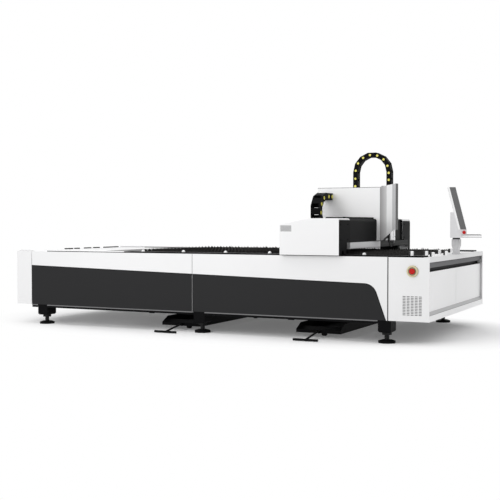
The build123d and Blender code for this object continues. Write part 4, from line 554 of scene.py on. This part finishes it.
def block(name, low, high, bevel):
    """A box between two corners with rounded edges."""
    fresh()
    size = Vector(high) - Vector(low)
    bpy.ops.mesh.primitive_cube_add(size=1.0, location=(Vector(high) + Vector(low)) / 2)
    bpy.context.object.scale = size
    made = settle(name)
    bevelled(made, bevel)
    return made


def turned(direction):
    """Turn that takes +Z to a direction."""
    return Vector((0, 0, 1)).rotation_difference(Vector(direction)).to_euler()


def disc(name, centre, direction, radius, thick, dimple, sides=20):
    """A round cap that stands out along a direction, with a dished face."""
    fresh()
    direction = Vector(direction)
    middle = Vector(centre) + direction * (thick / 2)
    bpy.ops.mesh.primitive_cylinder_add(
        vertices=sides, radius=radius, depth=thick, location=middle, rotation=turned(direction)
    )
    made = settle(name)
    pick_faces(made, lambda face: face.normal.dot(direction) > 0.9)
    bpy.ops.mesh.inset(thickness=radius * 0.3, depth=-dimple)
    bpy.ops.object.mode_set(mode="OBJECT")
    bpy.ops.object.shade_smooth_by_angle(angle=radians(35))
    return made


def join(name, pieces):
    """Makes one object of several."""
    fresh()
    for piece in pieces:
        piece.select_set(True)
    bpy.context.view_layer.objects.active = pieces[0]
    bpy.ops.object.join()
    made = bpy.context.object
    made.name = name
    return made


def coated(made, finish):
    made.data.materials.clear()
    made.data.materials.append(finish.material)
    return made


def repeated(pattern, offsets, name):
    """Copies a piece, each copy with its own mesh, to further places, and joins them all."""
    copies = [pattern]
    for offset in offsets:
        copy = pattern.copy()
        copy.data = pattern.data.copy()
        copy.data.transform(Matrix.Translation(offset))
        scene.collection.objects.link(copy)
        copies.append(copy)
    return join(name, copies)


def merged_copy(node, name):
    """A mesh of a node's solids with merged corners."""
    fresh()
    copy = nodes[node].copy()
    copy.data = nodes[node].data.copy()
    copy.name = name
    copy.parent = None
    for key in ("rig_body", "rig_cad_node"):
        del copy[key]
    scene.collection.objects.link(copy)
    copy.select_set(True)
    bpy.context.view_layer.objects.active = copy
    bpy.ops.object.mode_set(mode="EDIT")
    bpy.ops.mesh.select_all(action="SELECT")
    bpy.ops.mesh.remove_doubles(threshold=0.01 * MM)
    bpy.ops.object.mode_set(mode="OBJECT")
    return copy


def close_holes(made):
    """Fills the open edges of a piece."""
    fresh()
    made.select_set(True)
    bpy.context.view_layer.objects.active = made
    bpy.ops.object.mode_set(mode="EDIT")
    bpy.ops.mesh.select_all(action="SELECT")
    bpy.ops.mesh.fill_holes(sides=0)
    bpy.ops.object.mode_set(mode="OBJECT")


def split_off(made, name, wanted):
    """Takes the faces for which wanted(face) holds into a piece of their own and closes both."""
    fresh()
    made.select_set(True)
    bpy.context.view_layer.objects.active = made
    pick_faces(made, wanted)
    bpy.ops.mesh.separate(type="SELECTED")
    bpy.ops.object.mode_set(mode="OBJECT")
    taken = next(piece for piece in bpy.context.selected_objects if piece != made)
    taken.name = name
    close_holes(taken)
    close_holes(made)
    return taken


# Arched cable chain between the carriage and the head, and its yellow pins
PIN_NEAR = arch_low.y + PIN_PROUD
PIN_FAR = arch_high.y - PIN_PROUD
arch = merged_copy("z_chain", "arched_chain_links")
arch_pins = split_off(
    arch, "arched_chain_pins", lambda face: face.center.y < PIN_NEAR or face.center.y > PIN_FAR
)
for piece, finish in ((arch, chain_nylon), (arch_pins, pin_yellow)):
    coated(piece, finish)
    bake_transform(piece)
    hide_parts("z_chain")

# Dark plates behind the grille slots and behind the vents of both end housings, as painted shade for the
# hollows behind them
PLATE = 2 * MM
PLATE_EDGE = 0.5 * MM
GRILLE_MIDDLE = BED_END - 153 * MM
GRILLE_Z = 344 * MM
GRILLE_HALF = 100 * MM
grille_back = block(
    "grille_back_plate",
    (GRILLE_MIDDLE - GRILLE_HALF, BED_FRONT + 2 * LINE, GRILLE_Z - GRILLE_HALF),
    (GRILLE_MIDDLE + GRILLE_HALF, BED_FRONT + 2 * LINE + PLATE, GRILLE_Z + GRILLE_HALF),
    PLATE_EDGE,
)
coated(grille_back, slot_shade_coat)
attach(grille_back, "bed")

VENT_LEFT = BED_END - 1391 * MM
VENT_RIGHT = BED_END - 1276 * MM
VENT_BOTTOM = 986 * MM
VENT_TOP = 1044 * MM
VENT_EDGE = 0.4 * MM
rear_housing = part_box("rear_end_housing")[1].y
for name, vent_y in (
    ("front_vent_plate", housing_low.y + LINE),
    ("rear_vent_plate", rear_housing - LINE - PLATE),
):
    vent_back = block(
        name,
        (VENT_LEFT, vent_y, VENT_BOTTOM),
        (VENT_RIGHT, vent_y + PLATE, VENT_TOP),
        VENT_EDGE,
    )
    coated(vent_back, slot_shade_coat)
    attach(vent_back, "gantry")

# Pale strips in the upright joints of the skirts
SEAM_X = BED_END - 2349 * MM
SEAM_HALF = 1.1 * MM
SEAM_TOP = 571 * MM
SEAM_EDGE = 0.3 * MM
SEAM_DEPTH = 0.5 * MM
skirt_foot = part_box("front_skirt_left")[0].z
for name, seam_y in (
    ("front_skirt_seam", BED_FRONT + SEAM_DEPTH),
    ("rear_skirt_seam", bed_high.y - SEAM_DEPTH - PLATE),
):
    seam = block(
        name,
        (SEAM_X - SEAM_HALF, seam_y, skirt_foot),
        (SEAM_X + SEAM_HALF, seam_y + PLATE, SEAM_TOP),
        SEAM_EDGE,
    )
    coated(seam, post_coat)
    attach(seam, "bed")

# Black lips under the pale trims of the skirts
LIP_HEIGHT = 20 * MM
LIP_INSET = 4 * MM
trim_low, trim_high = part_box("skirt_trims")
lips = coated(merged_copy("skirt_trims", "skirt_lower_lips"), black_coat)
taller = LIP_HEIGHT / (trim_high.z - trim_low.z)
closer = 1.0 - 2 * LIP_INSET / (trim_high.y - trim_low.y)
middle_y = (trim_high.y + trim_low.y) / 2
lip_shift = Vector((0, middle_y * (1.0 - closer), trim_low.z - taller * trim_high.z))
lips.data.transform(Matrix.Translation(lip_shift) @ Matrix.Diagonal((1.0, closer, taller, 1.0)))
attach(lips, "bed")

# Rubber strips along the left edge of the left deck
deck_low, deck_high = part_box("end_decks")
STRIPS = ((765, 901), (947, 1029), (1135, 1256), (1317, 1428), (1529, 1828))
STRIP_INSET = 4 * MM
STRIP_WIDTH = 24 * MM
STRIP_HEIGHT = 12 * MM
STRIP_EDGE = 1.5 * MM
strip_left = deck_low.x + STRIP_INSET
strips = []
for start, end in STRIPS:
    strips.append(block(
        "left_deck_strip",
        (strip_left, BED_FRONT + start * MM, deck_high.z),
        (strip_left + STRIP_WIDTH, BED_FRONT + end * MM, deck_high.z + STRIP_HEIGHT),
        STRIP_EDGE,
    ))
deck_strips = coated(join("left_deck_strips", strips), rubber)
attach(deck_strips, "bed")

# Screws that hold the black side panels of the end housings
SCREW_RADIUS = 7 * MM
SCREW_THICK = 2.5 * MM
SCREW_DIMPLE = 1 * MM
SCREW_INSET = 22 * MM
SCREW_DROP = 36 * MM
SCREW_PITCH = 190 * MM
SCREW_ROWS = (0, -140 * MM)
panel_low, panel_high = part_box("housing_side_panels")
screw_first = disc(
    "side_panel_screws",
    (panel_high.x, panel_low.y + SCREW_INSET, panel_high.z - SCREW_DROP),
    (1, 0, 0), SCREW_RADIUS, SCREW_THICK, SCREW_DIMPLE,
)
screw_span = panel_high.y - panel_low.y - 2 * SCREW_INSET
screw_offsets = []
for across in (0, SCREW_PITCH, screw_span, screw_span - SCREW_PITCH):
    for down in SCREW_ROWS:
        if across or down:
            screw_offsets.append((0, across, down))
screws = coated(repeated(screw_first, screw_offsets, "side_panel_screws"), side_panel_coat)
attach(screws, "gantry")

# Keys on the console tray, made square to the bed and turned with the console
KEY_TOP = tray_low.z + 18 * MM
KEY_ROWS = 4
KEY_COLUMNS = 14
KEY_GAP = 3 * MM
KEY_SUNK = 1 * MM
KEY_RISE = 5 * MM
KEY_EDGE = 1.5 * MM
KEY_FIELD_HALF = 170 * MM
key_field_x = (BED_END + 72 * MM, BED_END + 184 * MM)
key_field_y = (PIVOT.y - KEY_FIELD_HALF, PIVOT.y + KEY_FIELD_HALF)
key_step_x = (key_field_x[1] - key_field_x[0]) / KEY_ROWS
key_step_y = (key_field_y[1] - key_field_y[0]) / KEY_COLUMNS
key = block(
    "key_cap",
    (key_field_x[0], key_field_y[0], KEY_TOP - KEY_SUNK),
    (key_field_x[0] + key_step_x - KEY_GAP, key_field_y[0] + key_step_y - KEY_GAP, KEY_TOP + KEY_RISE),
    KEY_EDGE,
)
key_offsets = [
    (row * key_step_x, column * key_step_y, 0)
    for row in range(KEY_ROWS) for column in range(KEY_COLUMNS) if row or column
]
keys = coated(repeated(key, key_offsets, "keyboard_keys"), key_plastic)
keys.data.transform(CONSOLE_TURN)
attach(keys, "console")

# Floor that takes the machine's shadow and fades to plain white away from it
FLOOR_SIZE = 80.0
FADE_ALONG = 0.16
FADE_ACROSS = 0.5
FADE_START = 0.95
FADE_END = 1.3
FADE_LEAST = 0.14
fresh()
bpy.ops.mesh.primitive_plane_add(size=FLOOR_SIZE)
floor = settle("floor")
floor_finish = Finish("pale floor", (0.93, 0.93, 0.935), 0.7, shine=0.0)
floor_x, floor_y = floor_finish.axes()[:2]
distance = (floor_x * floor_x * FADE_ALONG + floor_y * floor_y * FADE_ACROSS).math("SQRT")
fade = distance.share(FADE_START, FADE_END) * (1.0 - FADE_LEAST) + FADE_LEAST
glow = floor_finish.node("ShaderNodeEmission", {}, {"Color": (1.0, 1.0, 1.0, 1.0), "Strength": 1.0})
lit = Socket(floor_finish.tree, floor_finish.shader.outputs["BSDF"])
blended = floor_finish.node("ShaderNodeMixShader", {}, {0: fade, 1: lit, 2: glow})
floor_out = floor_finish.tree.nodes["Material Output"]
floor_finish.tree.links.new(blended.output, floor_out.inputs["Surface"])
floor.data.materials.append(floor_finish.material)

# White surroundings and three soft lamps
world = bpy.data.worlds.new("studio")
scene.world = world
world.use_nodes = True
sky = world.node_tree
seen = add_node(sky, "ShaderNodeLightPath", {}, {}, "Is Camera Ray")
mirrored = add_node(sky, "ShaderNodeLightPath", {}, {}, "Is Glossy Ray")
through = add_node(sky, "ShaderNodeLightPath", {}, {}, "Is Transmission Ray")
shown = (seen + mirrored + through).clamped()
background = sky.nodes["Background"]
AMBIENT = 0.7
sky.links.new((shown * (1.0 - AMBIENT) + AMBIENT).output, background.inputs["Strength"])
background.inputs["Color"].default_value = (1.0, 1.0, 1.0, 1.0)


def soft_light(name, place, target, size, watts):
    light = bpy.data.lights.new(name, "AREA")
    light.size = size
    light.energy = watts
    lamp = bpy.data.objects.new(name, light)
    lamp.location = place
    lamp.rotation_euler = (Vector(target) - Vector(place)).to_track_quat("-Z", "Y").to_euler()
    scene.collection.objects.link(lamp)


soft_light("overhead softbox", (-0.5, -1.5, 6.5), (0, 0, 0.6), 6.0, 130)
soft_light("front softbox", (-2.0, -8.0, 3.2), (0, 0, 0.6), 5.0, 95)
soft_light("gantry fill", (-1.2, -4.4, 2.6), (BED_END - 1.0, 0, 1.2), 2.0, 36)

CAMERA_PLACE = (BED_END + 2.1522, -8.953, 1.0596)
CAMERA_TURN = radians(26.0)
CAMERA_PITCH = radians(1.6)
LENS = 67.57
camera_data = bpy.data.cameras.new("photo camera")
camera_data.sensor_width = 36.0
camera_data.lens = LENS
camera = bpy.data.objects.new("photo camera", camera_data)
camera.location = CAMERA_PLACE
camera.rotation_euler = (pi / 2 - CAMERA_PITCH, 0, CAMERA_TURN)
scene.collection.objects.link(camera)
scene.camera = camera
